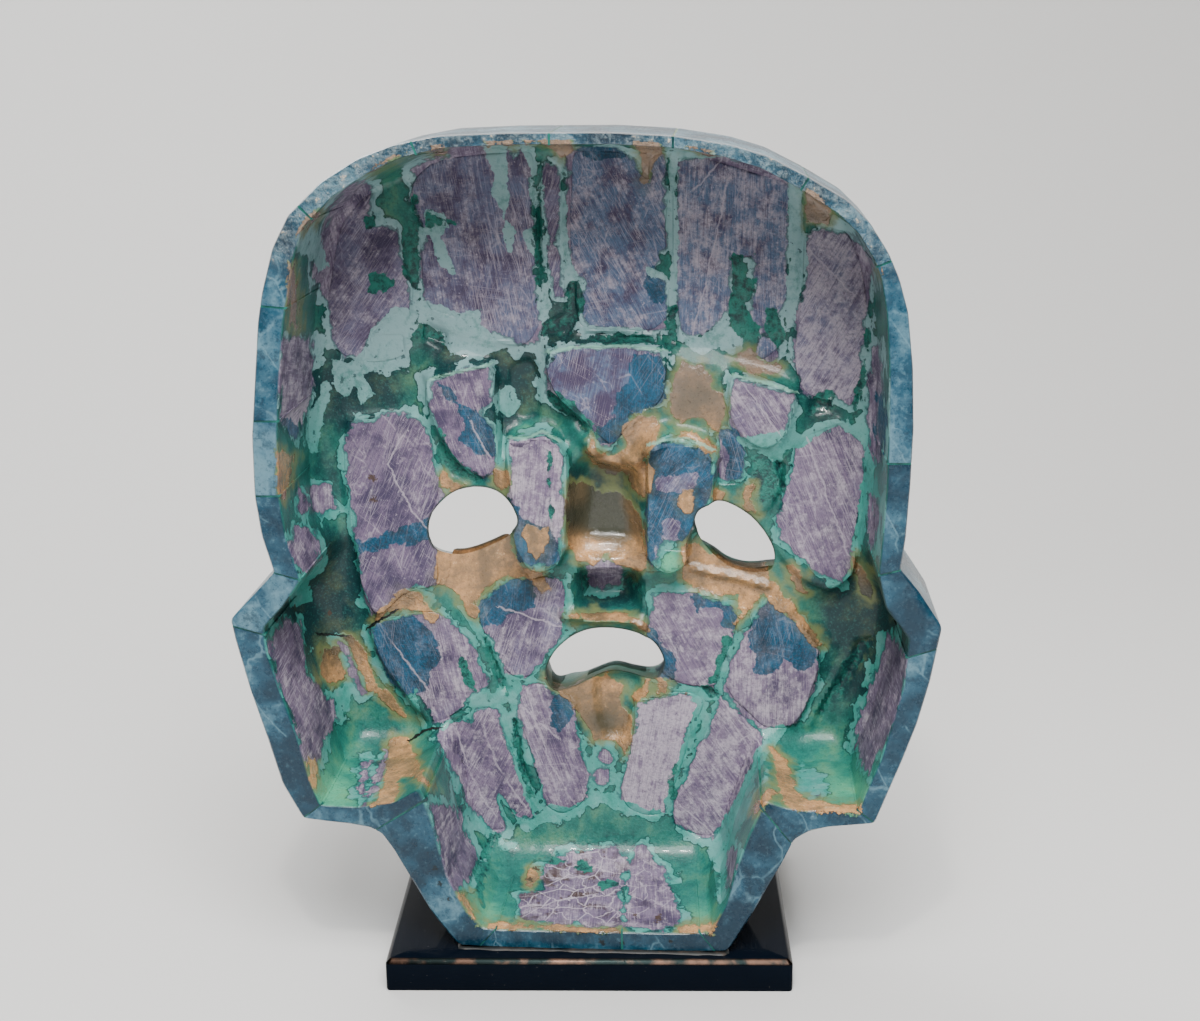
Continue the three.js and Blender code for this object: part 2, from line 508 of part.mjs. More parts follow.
function rimJoint(joint) {
  const [outerX, outerZ, innerX, innerZ] = rimAt(joint);
  const ahead = rimAt(joint + 0.1);
  const pace = Math.hypot(ahead[0] - outerX, ahead[1] - outerZ) * 10;
  const half = (WALL_SEAM / 2 - TOUCHING_GAP) / pace;
  const thickness = Math.hypot(innerX - outerX, innerZ - outerZ);
  const reach = 1 + (TOUCHING_GAP + RIM_JOINT.pastInnerFace) / thickness;
  const acrossEnds = [RIM_JOINT.fromOuterFace, reach];
  return carriedAlongRim([joint - half, joint + half], RESIN_RECESS, acrossEnds, RESIN_RECESS);
}

function hollowSolid({ outline, open, shrink, floor }) {
  const centre = centreOf(outline);
  const heights = outline.map(([, z]) => z);
  const [low, high] = [Math.min(...heights), Math.max(...heights)];
  const floorDepth = (x, z) => THREE.MathUtils.mapLinear(z, low, high, floor[1], floor[0]);
  const rings = [
    ringAt(outline, centre, 1, () => open),
    ringAt(outline, centre, shrink, floorDepth),
  ];
  const ends = [[centre[0], open, centre[1]], [centre[0], floorDepth(...centre), centre[1]]];
  return asSolid(closedLoft(rings, ends));
}

function resinSolid() {
  let resin = movedToDepths(resinPlan());
  for (const [, from] of WALLS) resin = resin.add(rimJoint(from));
  for (const { outline, back, resinDepth } of floorPlates) {
    if (!resinDepth) continue;
    const bed = straightBlock(grownOutline(outline, TOUCHING_GAP), back - TOUCHING_GAP, BEYOND_FACE);
    resin = resin.subtract(bed);
  }
  for (const hollow of HOLLOWS) resin = resin.subtract(hollowSolid(hollow));
  return resin;
}

// Slab: a low block whose upper edges are bevelled

function slabGeometry() {
  const { width, length, height, chamfer } = SLAB;
  const ring = (inset, z) => [[1, 1], [-1, 1], [-1, -1], [1, -1]]
    .map(([x, y]) => [x * (width / 2 - inset), -y * (length / 2 - inset), z]);
  const rings = [ring(0, 0), ring(0, height - chamfer), ring(chamfer, height)];
  return asGeometry(asSolid(closedLoft(rings, [[0, 0, 0], [0, 0, height]])));
}

function asGeometry(solid) {
  const { vertProperties, triVerts } = solid.getMesh();
  const geometry = new THREE.BufferGeometry();
  geometry.setAttribute('position', new THREE.BufferAttribute(Float32Array.from(vertProperties), 3));
  geometry.setIndex(new THREE.BufferAttribute(Uint32Array.from(triVerts), 1));
  return geometry;
}

function piece(name, geometry, colour) {
  const mesh = new THREE.Mesh(geometry, new THREE.MeshStandardMaterial(COLOURS[colour]));
  mesh.name = name;
  return mesh;
}

const mask = new THREE.Group();
mask.position.set(...RIM_PLACE, SLAB.height + STANDING_GAP);
mask.rotation.z = MASK_TURN;
for (const plate of floorPlates) {
  mask.add(piece(plate.name, asGeometry(floorPlateSolid(plate)), 'groundStone'));
}
for (const wall of WALLS) {
  const colour = wall[0].includes('pale') ? 'paleStone' : 'stone';
  mask.add(piece(wall[0], asGeometry(wallPlateSolid(wall)), colour));
}
mask.add(piece('resin', asGeometry(resinSolid()), 'resin'));

const object = new THREE.Group();
object.add(mask, piece('slab', slabGeometry(), 'slab'));

export default object;
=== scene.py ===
"""A hollow face mask of ground stone plates set in coloured resin, on a polished slab.

The pieces are worked out in millimetres in the mask's own frame [x, depth, z]: x towards the mask's
own left, depth from the flat rim at the back towards the face, z up. What lies on the hollow side is
drawn on a sheet, the rim's plane as it is seen from the point behind it that VIEW_POINT names.
"""

import json
from math import cos, pi, radians, sin

import bpy
import numpy as np
from mathutils import Matrix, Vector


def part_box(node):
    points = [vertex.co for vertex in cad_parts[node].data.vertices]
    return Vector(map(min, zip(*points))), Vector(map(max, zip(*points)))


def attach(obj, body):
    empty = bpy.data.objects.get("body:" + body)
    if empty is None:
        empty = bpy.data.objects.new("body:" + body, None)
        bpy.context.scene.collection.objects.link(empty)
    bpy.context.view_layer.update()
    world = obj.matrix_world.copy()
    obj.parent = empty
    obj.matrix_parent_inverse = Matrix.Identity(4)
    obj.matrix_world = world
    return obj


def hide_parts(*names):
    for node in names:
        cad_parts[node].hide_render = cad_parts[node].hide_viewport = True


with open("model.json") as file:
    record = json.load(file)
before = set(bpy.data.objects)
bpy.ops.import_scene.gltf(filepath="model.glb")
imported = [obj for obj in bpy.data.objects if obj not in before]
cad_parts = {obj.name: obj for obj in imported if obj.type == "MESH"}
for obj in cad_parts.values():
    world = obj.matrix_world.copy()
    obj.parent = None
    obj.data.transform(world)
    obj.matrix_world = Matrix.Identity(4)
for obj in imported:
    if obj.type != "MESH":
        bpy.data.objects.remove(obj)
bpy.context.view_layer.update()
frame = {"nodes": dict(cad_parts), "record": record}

bl_info = {
    "name": "Stone mosaic mask",
    "version": (1, 0, 0),
    "blender": (4, 5, 0),
    "location": "3D View > Sidebar > Mask",
    "description": "Builds the plates, walls, resin and slab of a stone mosaic mask",
    "category": "Object",
}

# Where the mask stands, in millimetres

SLAB_TOP = 10.0
STANDING_GAP = 0.3
MASK_PLACE = np.array([0.2, 44.0, SLAB_TOP + STANDING_GAP])
MASK_TURN = radians(-2.5)
VIEW_POINT = np.array([-39.5, 504.8, 263.4])

# Openings of the face [x, z]

LEFT_EYE = [[50.9, 118.5], [49.5, 111.5], [42.4, 109.3], [33, 112], [25.8, 116.3],
            [22.9, 122], [27, 128.8], [33.7, 131.1], [42, 129.3], [48.3, 124]]
RIGHT_EYE = [[-30.4, 121], [-33.5, 113.4], [-40, 107], [-47, 104.5], [-53, 105.2],
             [-54.2, 110.5], [-51, 117.8], [-44.5, 124.3], [-37.4, 127.1], [-31.8, 125.3]]
MOUTH = [[15.7, 70], [13.5, 77], [7.4, 82.9], [-1.5, 86], [-10.3, 85], [-18, 81], [-20.9, 74.5],
         [-18.5, 69.7], [-12, 70.5], [-5.4, 71.8], [1, 69.6], [8, 66.3], [13.5, 65.8]]

# The rim, station by station from under the chin up the left side [outer x, z, inner x, z]

RIM = [
    [-10, 0, -10, 5.8], [12, 0, 12, 5.8], [30, 0.2, 26, 5.8], [39, 0.5, 31.5, 6.3],
    [46.5, 11, 36.3, 11.5], [52.5, 22, 41, 21], [57, 30.5, 43.6, 31.5], [60.5, 35.8, 45.5, 41],
    [64, 37.8, 48.8, 50.5], [70, 38.8, 56, 46], [77, 39.5, 67, 44.2], [83.8, 40.3, 78.5, 44.6],
    [89.4, 51, 81.2, 52], [93.1, 65, 84.3, 66], [97.4, 80, 88.7, 80], [100.9, 95, 92, 92],
    [102, 101.5, 92.5, 99], [93, 110.8, 86.5, 105.5], [88.6, 115.5, 81, 113.5],
    [91.6, 126.4, 84.6, 125.5], [93, 138, 86, 138], [92.8, 155, 85.7, 155], [91.2, 170, 84.3, 170],
    [89.4, 187, 82.4, 187], [87.9, 195, 80.8, 194], [84.3, 207.5, 78.6, 205],
    [79.5, 216.5, 75.6, 213], [70, 225.5, 67, 221.5], [60, 231.5, 57.8, 227.3],
    [50, 235.2, 48.4, 231.6], [38, 237.4, 37, 234.2], [20, 238, 20, 235], [8, 238, 8, 235],
    [-8, 238, -8, 235], [-25, 237, -25, 234], [-40, 234.6, -39, 231.4], [-50, 231.6, -48.6, 228.4],
    [-61, 226, -59, 222.8], [-71.5, 219.8, -68.8, 216.6], [-77.5, 214, -74.5, 211.2],
    [-82.6, 206, -79, 204], [-85.6, 199.3, -81, 198.5], [-88.3, 190, -82.7, 189.5],
    [-90, 175, -83.7, 175], [-90.7, 158, -84, 158], [-90.3, 142, -84, 142],
    [-89.5, 127, -83.2, 127], [-88.3, 118, -82.4, 116.5], [-93.5, 112, -84.5, 107],
    [-100.4, 101.5, -91.3, 98], [-97.6, 85.5, -90.3, 84], [-94.4, 72.8, -87.3, 72],
    [-90.5, 61.4, -84.3, 61], [-86, 49.5, -80.5, 51.5], [-83.2, 42, -78.6, 45.6],
    [-77, 41.3, -71, 46], [-70, 40.6, -63, 45.4], [-64.5, 39.2, -56.5, 46.5],
    [-60.2, 36.5, -51.5, 48.5], [-57, 29.5, -46.8, 37], [-53, 22, -43.5, 27],
    [-48.5, 13, -40.8, 16], [-41.3, 0.5, -36.3, 6.5], [-32, 0.2, -28, 5.9],
]
LEAN = {"chin": 0.08, "crown": 0.05, "side": 0.01}

# Depths of the usual plate back, of the walls' front where their section is read, and of the
# place where the openings have reached their full width

BACKS = 44
WALL_FRONT = 51.0
FULL_WIDTH = 55

# Walls on the rim: the stations that each one runs between

WALLS = {
    "chin_wall_left": (0, 2.3), "jaw_wall_left": (2.3, 7.6), "ear_wall_lower_left": (7.6, 11),
    "ear_wall_outer_left": (11, 15.7), "ear_wall_upper_left": (15.7, 18),
    "temple_wall_lower_left": (18, 20), "temple_wall_pale_left": (20, 21.3),
    "temple_wall_middle_left": (21.3, 23.6), "temple_wall_upper_left": (23.6, 26.3),
    "crown_wall_outer_left": (26.3, 29.4), "crown_wall_inner_left": (29.4, 32),
    "crown_wall_middle": (32, 34), "crown_wall_inner_right": (34, 37),
    "crown_wall_outer_right": (37, 40.3), "temple_wall_upper_right": (40.3, 44.6),
    "temple_wall_lower_right": (44.6, 47), "ear_wall_upper_right": (47, 49.4),
    "ear_wall_outer_right": (49.4, 54), "ear_wall_lower_right": (54, 58.2),
    "jaw_wall_right": (58.2, 62.4), "chin_wall_right": (62.4, 64),
}

# Plates that lie under the resin: the depth that the resin in front of their backs has

RESIN_LEVELS = {
    "brow_hollow_left": 49.5, "brow_hollow_right": 43.8, "brow_outer_left": 46.5,
    "nose_bridge": 44, "nose": 44, "under_eye_left": 46.5, "under_eye_right": 46.5,
    "lip_middle": 46.5, "chin_front_left": 44, "chin_front_right": 44, "ear_left": 48.5,
    "ear_right": 48.5,
}

# Resin hollows: outline at the back [x, z], then how far the floor lies below the resin, at the
# hollow's top and at its bottom, and how wide its sides are

HOLLOWS = [
    {"outline": [[5.5, 139], [7, 126], [7, 110.5], [-14.4, 110.5], [-14.6, 126], [-12, 139],
                 [-3, 142]], "below": (6.6, 7.4), "side": 8},
    {"outline": [[6.5, 103], [7, 97], [6, 91], [3, 89], [-10, 89], [-13.5, 91], [-14.6, 97],
                 [-14, 103], [-4, 105]], "below": (12, 12), "side": 7},
    {"outline": [[25, 168], [17.8, 169], [16, 158], [17, 150], [24.5, 150], [27, 159]],
     "below": (2.5, 2.5), "side": 4},
    {"outline": [[0.5, 70], [-13.5, 70], [-13, 57], [-10, 48.5], [-2.5, 48.5], [0.5, 56]],
     "below": (3, 2), "side": 5},
]

# Resin ridges, on the sheet: line, height and half width

RIDGES = [
    ([[-2, 155], [-4.5, 149.5], [-9.5, 147.8], [-14.5, 149], [-18, 153], [-23, 157.5]], 4.2, 2.3),
    ([[-18.5, 153], [-22, 156], [-28, 157], [-33, 155.5], [-37.2, 150.5]], 2.6, 1.5),
    ([[43, 172.5], [34, 175], [25, 176.6]], 1.4, 0.9),
    ([[10, 180.6], [-3, 181.8], [-22.5, 180.8]], 1.2, 0.8),
    ([[-41, 174], [-49, 172.6], [-58.5, 169]], 1.4, 0.9),
    ([[-64, 71], [-70, 82], [-76, 92]], 1.3, 1.3),
    ([[5, 125], [-3, 124.2], [-8, 124.3], [-16, 122.8]], 1.5, 1.4),
    ([[-30, 118], [-34.5, 116.8], [-43, 115.2], [-51.5, 112.8]], 1.6, 1.4),
    ([[5.5, 104], [-2, 103.5], [-10, 103.8], [-16, 101.5]], 3, 2),
    ([[19.5, 155.8], [14, 158.3], [9, 158]], 1.2, 1.1),
]

# What shows on the hollow side, drawn on the sheet

BARE_STONE = [
    [[62, 225.5], [67.8, 218], [74, 202], [69.2, 192.5], [68.4, 183], [66.2, 176.5], [61, 178.5],
     [57, 186], [52, 190.5], [47.5, 190], [46.5, 197], [48.5, 203], [50, 212], [55.5, 214],
     [57.2, 218], [56, 225]],
    [[56.5, 183], [49.5, 183.5], [49, 177.5], [53, 175.5], [59.5, 175], [58.5, 180]],
    [[44.3, 229], [41, 231.5], [35, 232], [34.5, 236], [20, 235.5], [17, 232], [14.5, 236],
     [12.8, 234], [13.2, 226], [12.5, 218], [13, 211], [11.9, 200], [11.3, 186], [13, 181.5],
     [17, 180], [19, 183.5], [26, 184], [29, 188], [27, 191.5], [34, 189.5], [42, 192],
     [43.5, 200], [43.2, 207], [41.5, 213], [44.5, 217], [45.5, 224]],
    [[8.5, 231], [5.8, 228.5], [5.5, 215], [6.5, 210], [5.3, 203], [4.8, 194.5], [7.5, 193.5],
     [8.2, 203], [9.2, 215], [10, 226]],
    [[3.5, 233], [0, 234], [-7, 234], [-15, 231], [-18.5, 225], [-20, 231.5], [-22.7, 233],
     [-23.3, 215], [-22.5, 204], [-18.5, 201.5], [-23, 197], [-23.2, 186], [-17, 184.5],
     [-12, 186], [-5, 185.5], [0, 187], [-0.5, 193], [-1.5, 198], [2, 202], [4, 210], [3.2, 220]],
    [[-26, 231], [-32, 231.5], [-37, 232.5], [-41, 231], [-48, 230], [-55.5, 227], [-55.5, 215],
     [-55.5, 195], [-53, 190], [-50.5, 183], [-46.5, 187], [-45.5, 193], [-47.5, 197],
     [-47, 206], [-40.5, 206], [-41, 196], [-39.5, 190], [-36.5, 187], [-33, 183.5],
     [-28.5, 183.8], [-26.3, 190], [-25.8, 205]],
    [[-48.2, 183], [-51, 184], [-54, 182.5], [-54.3, 178.5], [-51, 176.8], [-48, 178.5]],
    [[-62, 213.5], [-67, 212.3], [-72, 211], [-76, 207.5], [-78.5, 203.5], [-77.4, 196],
     [-76.9, 190], [-76.3, 180], [-75.5, 170], [-72.5, 165.2], [-68, 168], [-64.5, 166],
     [-60, 169], [-58.5, 175], [-57.8, 190], [-59.5, 194], [-60.8, 200], [-61, 209]],
    [[42, 171.3], [34, 173.5], [25.2, 175.2], [25, 166], [28.5, 162.5], [25, 158.5],
     [24.3, 150.5], [25.5, 145], [28, 143.5], [34, 147], [38.5, 153.5], [41.4, 162]],
    [[8, 178.8], [0, 180.3], [-12, 180.5], [-22.5, 179.3], [-22.9, 167], [-20, 165], [-14, 163],
     [-10.5, 156], [-8, 152.5], [-5, 153], [-2.5, 157], [2.5, 163], [9, 167.5], [9.7, 173]],
    [[-41.2, 172.3], [-58.2, 167.5], [-56, 159], [-53, 153], [-50.3, 152], [-43.7, 155],
     [-40.8, 160]],
    [[-38, 158], [-41, 157], [-46.3, 148.5], [-43.5, 143.5], [-38, 143], [-37.3, 150]],
    [[64.8, 159], [48.8, 161.7], [43.3, 157.5], [40.2, 140.3], [40.5, 124.4], [41.2, 113.4],
     [49.8, 111], [54, 106.7], [61.1, 103], [62.7, 109.6], [64.3, 124.3], [65, 137.4],
     [66.7, 149]],
    [[-70.5, 159], [-76.2, 154.5], [-77.5, 146.8], [-76, 133.7], [-74.5, 122.3], [-72.4, 113.6],
     [-66, 117], [-60.3, 121.6], [-54.6, 126.6], [-54.8, 133.7], [-57.3, 145.2], [-58.5, 153],
     [-64, 156.5]],
    [[20.5, 154.5], [16, 154], [11, 156.5], [6.5, 153], [5.3, 145], [6, 135], [6.3, 128],
     [7, 120.5], [15, 117], [18.7, 121], [19.9, 130], [20, 140]],
    [[-18.5, 152], [-21, 153.5], [-28, 154], [-35.5, 151.5], [-36.2, 146], [-36, 138],
     [-31, 131], [-28, 126], [-22, 125.3], [-19.3, 118.5], [-17.3, 121], [-17.5, 135],
     [-18.3, 145]],
    [[-0.5, 118.5], [-5, 120.3], [-11.8, 118], [-10, 113.5], [-5, 111.3], [-1.5, 113]],
    [[61.6, 99.5], [49.8, 103.8], [43, 104], [36, 100.5], [32.5, 95], [27.5, 83], [33.5, 79.5],
     [36, 75], [43.7, 70.5], [47.5, 79.5], [52, 79], [56, 84], [59.5, 90]],
    [[30, 106], [21.3, 114], [15, 114.3], [6.8, 116], [5.7, 110.5], [6.6, 98.8], [11.7, 91],
     [16.3, 85.2], [22, 86], [22.7, 89.5], [26, 96.5], [29.5, 99.5]],
    [[-19.2, 110.2], [-28.5, 111], [-40, 107.8], [-43.2, 104], [-42, 99], [-36.3, 82],
     [-25, 85], [-21, 85.5], [-18.4, 92], [-18, 102]],
    [[-52.4, 110.8], [-45.5, 99], [-38.5, 82], [-50.5, 70.5], [-60, 72], [-65.6, 85.8],
     [-66.3, 94], [-60.3, 102], [-54.5, 106.5]],
    [[43.5, 68.5], [36, 72.5], [32.7, 70.5], [31.3, 75.5], [26.2, 75.5], [23.5, 67],
     [14.8, 42.8], [16.5, 41.3], [22.2, 44.3], [26, 49.5], [24.6, 38], [27.5, 37.3], [34, 44]],
    [[18.6, 82.5], [12.6, 83], [9, 81], [4.6, 80], [2.5, 71], [-1.2, 48], [8.2, 43],
     [11.2, 45.5], [16.2, 63], [17.7, 67.5], [19, 75.5]],
    [[-15, 77.3], [-25.7, 80.7], [-31.5, 81.5], [-34, 77], [-29.3, 71.5], [-28.7, 63.5],
     [-22.3, 43.5], [-16.3, 44], [-9.5, 47.2], [-11.3, 56.5], [-14.2, 70]],
    [[-39.5, 79.7], [-51.5, 67.5], [-49.2, 62], [-42.5, 46.5], [-37, 35.7], [-25, 40.8],
     [-24.6, 45.5], [-30.6, 60], [-35.6, 72.5]],
    [[-3.2, 62.8], [-5.5, 64.2], [-7.9, 62.8], [-7.9, 60.2], [-5.5, 58.8], [-3.2, 60.2]],
    [[-2.2, 57], [-4.5, 58.3], [-6.8, 57], [-6.8, 54.6], [-4.5, 53.2], [-2.2, 54.6]],
    [[20.5, 17.8], [13.5, 19.3], [13.8, 25], [8.3, 30.5], [-3.5, 33], [-12.3, 32],
     [-11.5, 26.5], [-9.8, 20], [-9.8, 9], [0, 7], [3, 8.5], [14, 8.5], [20, 11]],
    [[-14, 34], [-17, 33.5], [-19.8, 29.5], [-24, 24], [-23.7, 20], [-27, 13.5], [-27.3, 9],
     [-22, 6.5], [-11, 8], [-11.5, 16], [-13.2, 28]],
    [[47.5, 46], [39, 45], [32, 28], [36, 21], [40, 17.5], [43, 26.5], [44.5, 38.5]],
    [[-38.6, 31], [-40.6, 24], [-39, 19], [-41.5, 21], [-44, 31], [-41.5, 36]],
    [[83, 183], [74.5, 183], [74, 170], [78, 160], [80, 154.5], [84.5, 160], [84, 172]],
    [[81, 141], [78.5, 139], [78.5, 133], [81, 133.5]],
    [[76.5, 141], [71, 141], [70, 135], [74, 133], [77.5, 135]],
    [[82.5, 130], [76.5, 128], [75.5, 120], [79, 115.5], [84, 121]],
    [[91.5, 95], [86, 102], [81.8, 101], [81, 90], [79, 82], [73.5, 77.5], [72.7, 71.5],
     [75.5, 67], [79.5, 55.5], [83.3, 60.5], [85.5, 72], [89.5, 84]],
    [[70.5, 95], [68, 94], [63.5, 80], [65.5, 79.5]],
    [[58.5, 62.5], [56.5, 62], [61, 50], [66, 44.5], [63.5, 51]],
    [[65.5, 58], [63, 59], [65.5, 48], [67.5, 49]],
    [[-86, 100], [-91, 92], [-90, 80], [-86, 68], [-81, 57], [-77, 66], [-77, 72],
     [-80.5, 83], [-84, 92]],
    [[-78.8, 180], [-80.5, 181], [-83.5, 160], [-82, 148], [-79, 150], [-77.8, 165]],
    [[-78, 145], [-81, 141], [-82, 130], [-80, 124], [-78.3, 132]],
    [[-61.5, 56], [-63.5, 57], [-63, 52], [-61.5, 52.5]],
    [[-65.5, 55], [-67.5, 54.5], [-67, 49.5], [-65.5, 50]],
]

BLUE_STONE = [
    [[1.5, 238], [-13.5, 238], [-12.5, 231.5], [-6, 231], [1, 233]],
    [[-17.5, 200], [-20, 203], [-24, 199], [-23, 193.5], [-19, 192.5]],
    [[-14, 178.5], [-23.5, 179], [-23.5, 165], [-14, 161.5], [-9, 154], [-4, 153.5], [-3, 157],
     [-9, 160], [-9.5, 168], [-13, 172]],
    [[66, 125.3], [63, 125.3], [41, 132.5], [39.5, 132.5], [39.5, 126.3], [48, 125.2],
     [64.5, 120.8]],
    [[20, 136], [17.5, 136.5], [16.5, 132.5], [12.5, 130], [9.6, 129.5], [6, 124], [6, 116],
     [20, 116], [21, 124]],
    [[-36, 160], [-42, 157.5], [-46.3, 148.5], [-43.5, 143], [-39.5, 143], [-41, 150],
     [-39, 154]],
    [[-17, 154], [-21, 156], [-36.5, 153.5], [-37, 138], [-28, 124], [-17, 118]],
    [[62.5, 99.5], [55, 103], [49.8, 104.5], [45, 99.5], [41.5, 91], [44.5, 85], [48, 80],
     [51, 78], [56, 82], [61, 90]],
    [[31, 106], [21.3, 115], [15, 115], [14, 106], [20, 105], [24, 102], [31, 100]],
    [[-16.5, 101.5], [-20, 99.5], [-26.5, 91], [-25, 84.5], [-20, 84], [-17, 90]],
    [[-30.5, 110], [-36, 110], [-44.5, 107], [-43, 99.5], [-40.3, 101], [-38.3, 106],
     [-34, 106], [-31.5, 105.5]],
    [[-52.4, 112.8], [-47, 104], [-47, 96], [-48.5, 88], [-53, 86.5], [-57, 91], [-62, 89],
     [-66.5, 92], [-61.3, 103], [-54.5, 108.5]],
    [[10, 81.5], [4.6, 81], [4.5, 73], [8, 68.5], [11, 71]],
    [[84, 160], [77, 158], [79, 153], [84, 156]],
    [[-80, 168], [-84.5, 168], [-86, 150], [-83, 146], [-80.5, 158]],
    [[41, 172], [24, 158.5], [24, 150], [30, 150], [34, 155], [33, 160]],
]

MAUVE_ON_BLUE = [
    [[-20.5, 143.5], [-32, 146], [-32, 142], [-26, 140.5], [-21, 140.8]],
    [[-22.5, 132], [-27, 132], [-26.5, 125.5], [-23, 125]],
    [[-20, 124], [-24, 121], [-28, 117.5], [-20, 118]],
]

TAN_RESIN = [
    [[26, 237.5], [18, 237.5], [17, 234.5], [21, 235.2], [24.5, 234.2]],
    [[15, 238], [2, 237.5], [1.5, 233.5], [4.5, 231.5], [7, 233.5], [11, 236], [14.5, 235]],
    [[-13.8, 237], [-22, 237.5], [-22.3, 232.5], [-19.5, 230], [-18.3, 224], [-16.5, 225.5],
     [-15.8, 232.5]],
    [[-25, 237.5], [-30, 237.5], [-37, 232.3], [-33.5, 232.4], [-28, 234.5]],
    [[58, 231.5], [46, 235.5], [46, 233.5], [56, 228]],
    [[80, 214], [71, 219], [70.5, 216.5], [78, 211]],
    [[40, 235.5], [36, 235.5], [36.5, 232.8], [40, 233]],
    [[-60.5, 225], [-63, 224], [-66.5, 219], [-66.5, 213.5], [-63, 214], [-60, 213]],
    [[80.3, 206], [79, 204], [77.9, 196], [77.7, 186], [79.2, 185], [80.4, 191]],
    [[86.5, 152], [81.5, 150], [82, 142], [84.5, 137.5], [86.5, 139]],
    [[-25, 171.5], [-27.5, 176.5], [-33, 176.5], [-36.5, 172], [-35.5, 169.5], [-39.3, 169],
     [-39.3, 162], [-37.3, 157], [-33, 160.3], [-27, 160], [-24, 161.5]],
    [[-1, 152], [-2.6, 156.5], [-4.5, 151.5], [-9, 151.3], [-12.5, 153], [-11, 158],
     [-14.5, 160.5], [-20, 161.5], [-21.3, 158], [-19.5, 153], [-17.3, 149], [-19.7, 146],
     [-19.2, 141.5], [-17, 138.3], [-13.8, 141], [-13, 145], [-7, 145.3], [-2.5, 147.5]],
    [[-26, 155.8], [-31, 157.8], [-37.5, 152.5], [-37, 149.5], [-31, 153.8]],
    [[-41, 178], [-46, 180.5], [-49, 176.5], [-54.5, 175.5], [-52, 172.3], [-46, 173.5]],
    [[4.5, 143], [-1, 142], [-6, 140], [-12, 139], [-16.8, 130], [-17.8, 118], [-15, 117],
     [-9, 119.7], [-6, 122.8], [-3, 119], [2, 120], [4.5, 126]],
    [[16, 131.2], [12.5, 129], [9.8, 129.7], [10, 125], [13.5, 119.3], [17.2, 127]],
    [[24.7, 146], [20.5, 146], [20, 142], [24, 141]],
    [[39.5, 146], [36.5, 143.5], [33, 141.5], [36, 140], [40, 141.5]],
    [[-27.5, 141.5], [-30.8, 141], [-29.8, 134.3], [-28.5, 134], [-26.3, 138.5]],
    [[-36.5, 141], [-39.5, 140], [-37, 137.5], [-35, 139]],
    [[-44, 141.5], [-46.7, 142], [-46.5, 138], [-48.5, 134.3], [-45, 135.3]],
    [[41.8, 124], [30, 126], [20.2, 128.5], [19.8, 122], [19, 118.5], [12, 116.3], [9.5, 112],
     [12, 110.3], [14.5, 115], [22, 115.3], [29, 112], [31, 108], [31, 102.5], [33.5, 104.5],
     [36, 110], [41.5, 113], [42.3, 116]],
    [[52, 111], [47, 110.5], [45, 107], [42, 103], [44, 101.5], [47, 105], [56, 104],
     [60, 101.5], [59, 104.5]],
    [[-27.5, 125], [-31.5, 126], [-33.5, 123.5], [-39, 121.5], [-47, 120], [-51.5, 120.5],
     [-52, 115], [-55, 112.3], [-59, 107], [-64, 101], [-67.2, 96], [-64.5, 95], [-62, 98],
     [-59.5, 102.8], [-54, 107], [-50, 110.5], [-46, 106], [-42.2, 101.3], [-44.2, 105.5],
     [-43, 109.7], [-37, 110.6], [-31, 112.2], [-28.3, 114.8]],
    [[-56, 120], [-61.5, 118], [-62, 111.5], [-60, 112], [-58, 117]],
    [[-75, 122], [-79, 118], [-80.3, 110], [-78, 111], [-76, 116]],
    [[7, 103.3], [-2, 102.2], [-11, 102.5], [-18, 99.5], [-17.5, 101.8], [-11, 104.7],
     [-2, 104.5], [4, 104.3]],
    [[12, 86], [6, 82.2], [0, 84.5], [-6, 86.7], [-11, 83], [-9, 80], [-13, 74], [-13, 66],
     [-11, 62], [-8.5, 66], [-2, 66.5], [1, 74], [4.7, 78.5], [8, 80.5]],
    [[-13.5, 80.5], [-18, 84.5], [-17, 80], [-14, 78.5]],
    [[-20.5, 85.5], [-24, 85], [-23, 81], [-21, 81]],
    [[76.5, 92.5], [71, 93.5], [69.8, 84], [74, 83], [77, 85]],
    [[69, 97], [66, 97], [59.5, 82.5], [55.5, 78], [49.8, 71.5], [52, 71.3], [58, 77],
     [63.5, 81.5]],
    [[57, 66], [51.5, 67], [50.5, 62], [48.5, 57], [46, 51.5], [51, 53.5], [54, 54.5],
     [57, 46], [64, 44], [60, 50]],
    [[81.5, 60], [79, 58], [79.5, 49], [81, 50]],
    [[-52.5, 65], [-55, 63.5], [-58, 60], [-60.5, 52], [-63, 49.5], [-80, 47.3], [-80, 44.5],
     [-60, 45.3], [-57, 49], [-55, 56]],
    [[-48, 45], [-50, 50], [-54, 53.5], [-54, 51], [-51, 45.5]],
    [[39.5, 16.5], [36.5, 17.5], [34, 11], [31.5, 1.5], [33, 7], [36, 12]],
    [[30, 8.5], [-9, 6.5], [-10, 5.5], [30, 6.3]],
    [[18.5, 20], [16.5, 25.5], [14, 24.5], [16.5, 19.5]],
    [[-26.5, 8], [-38.5, 10], [-37, 7], [-36, 2], [-35, 6.6], [-27, 6.2]],
    [[-80, 202], [-83.5, 203.5], [-83.5, 201.5], [-81.5, 200.3]],
]

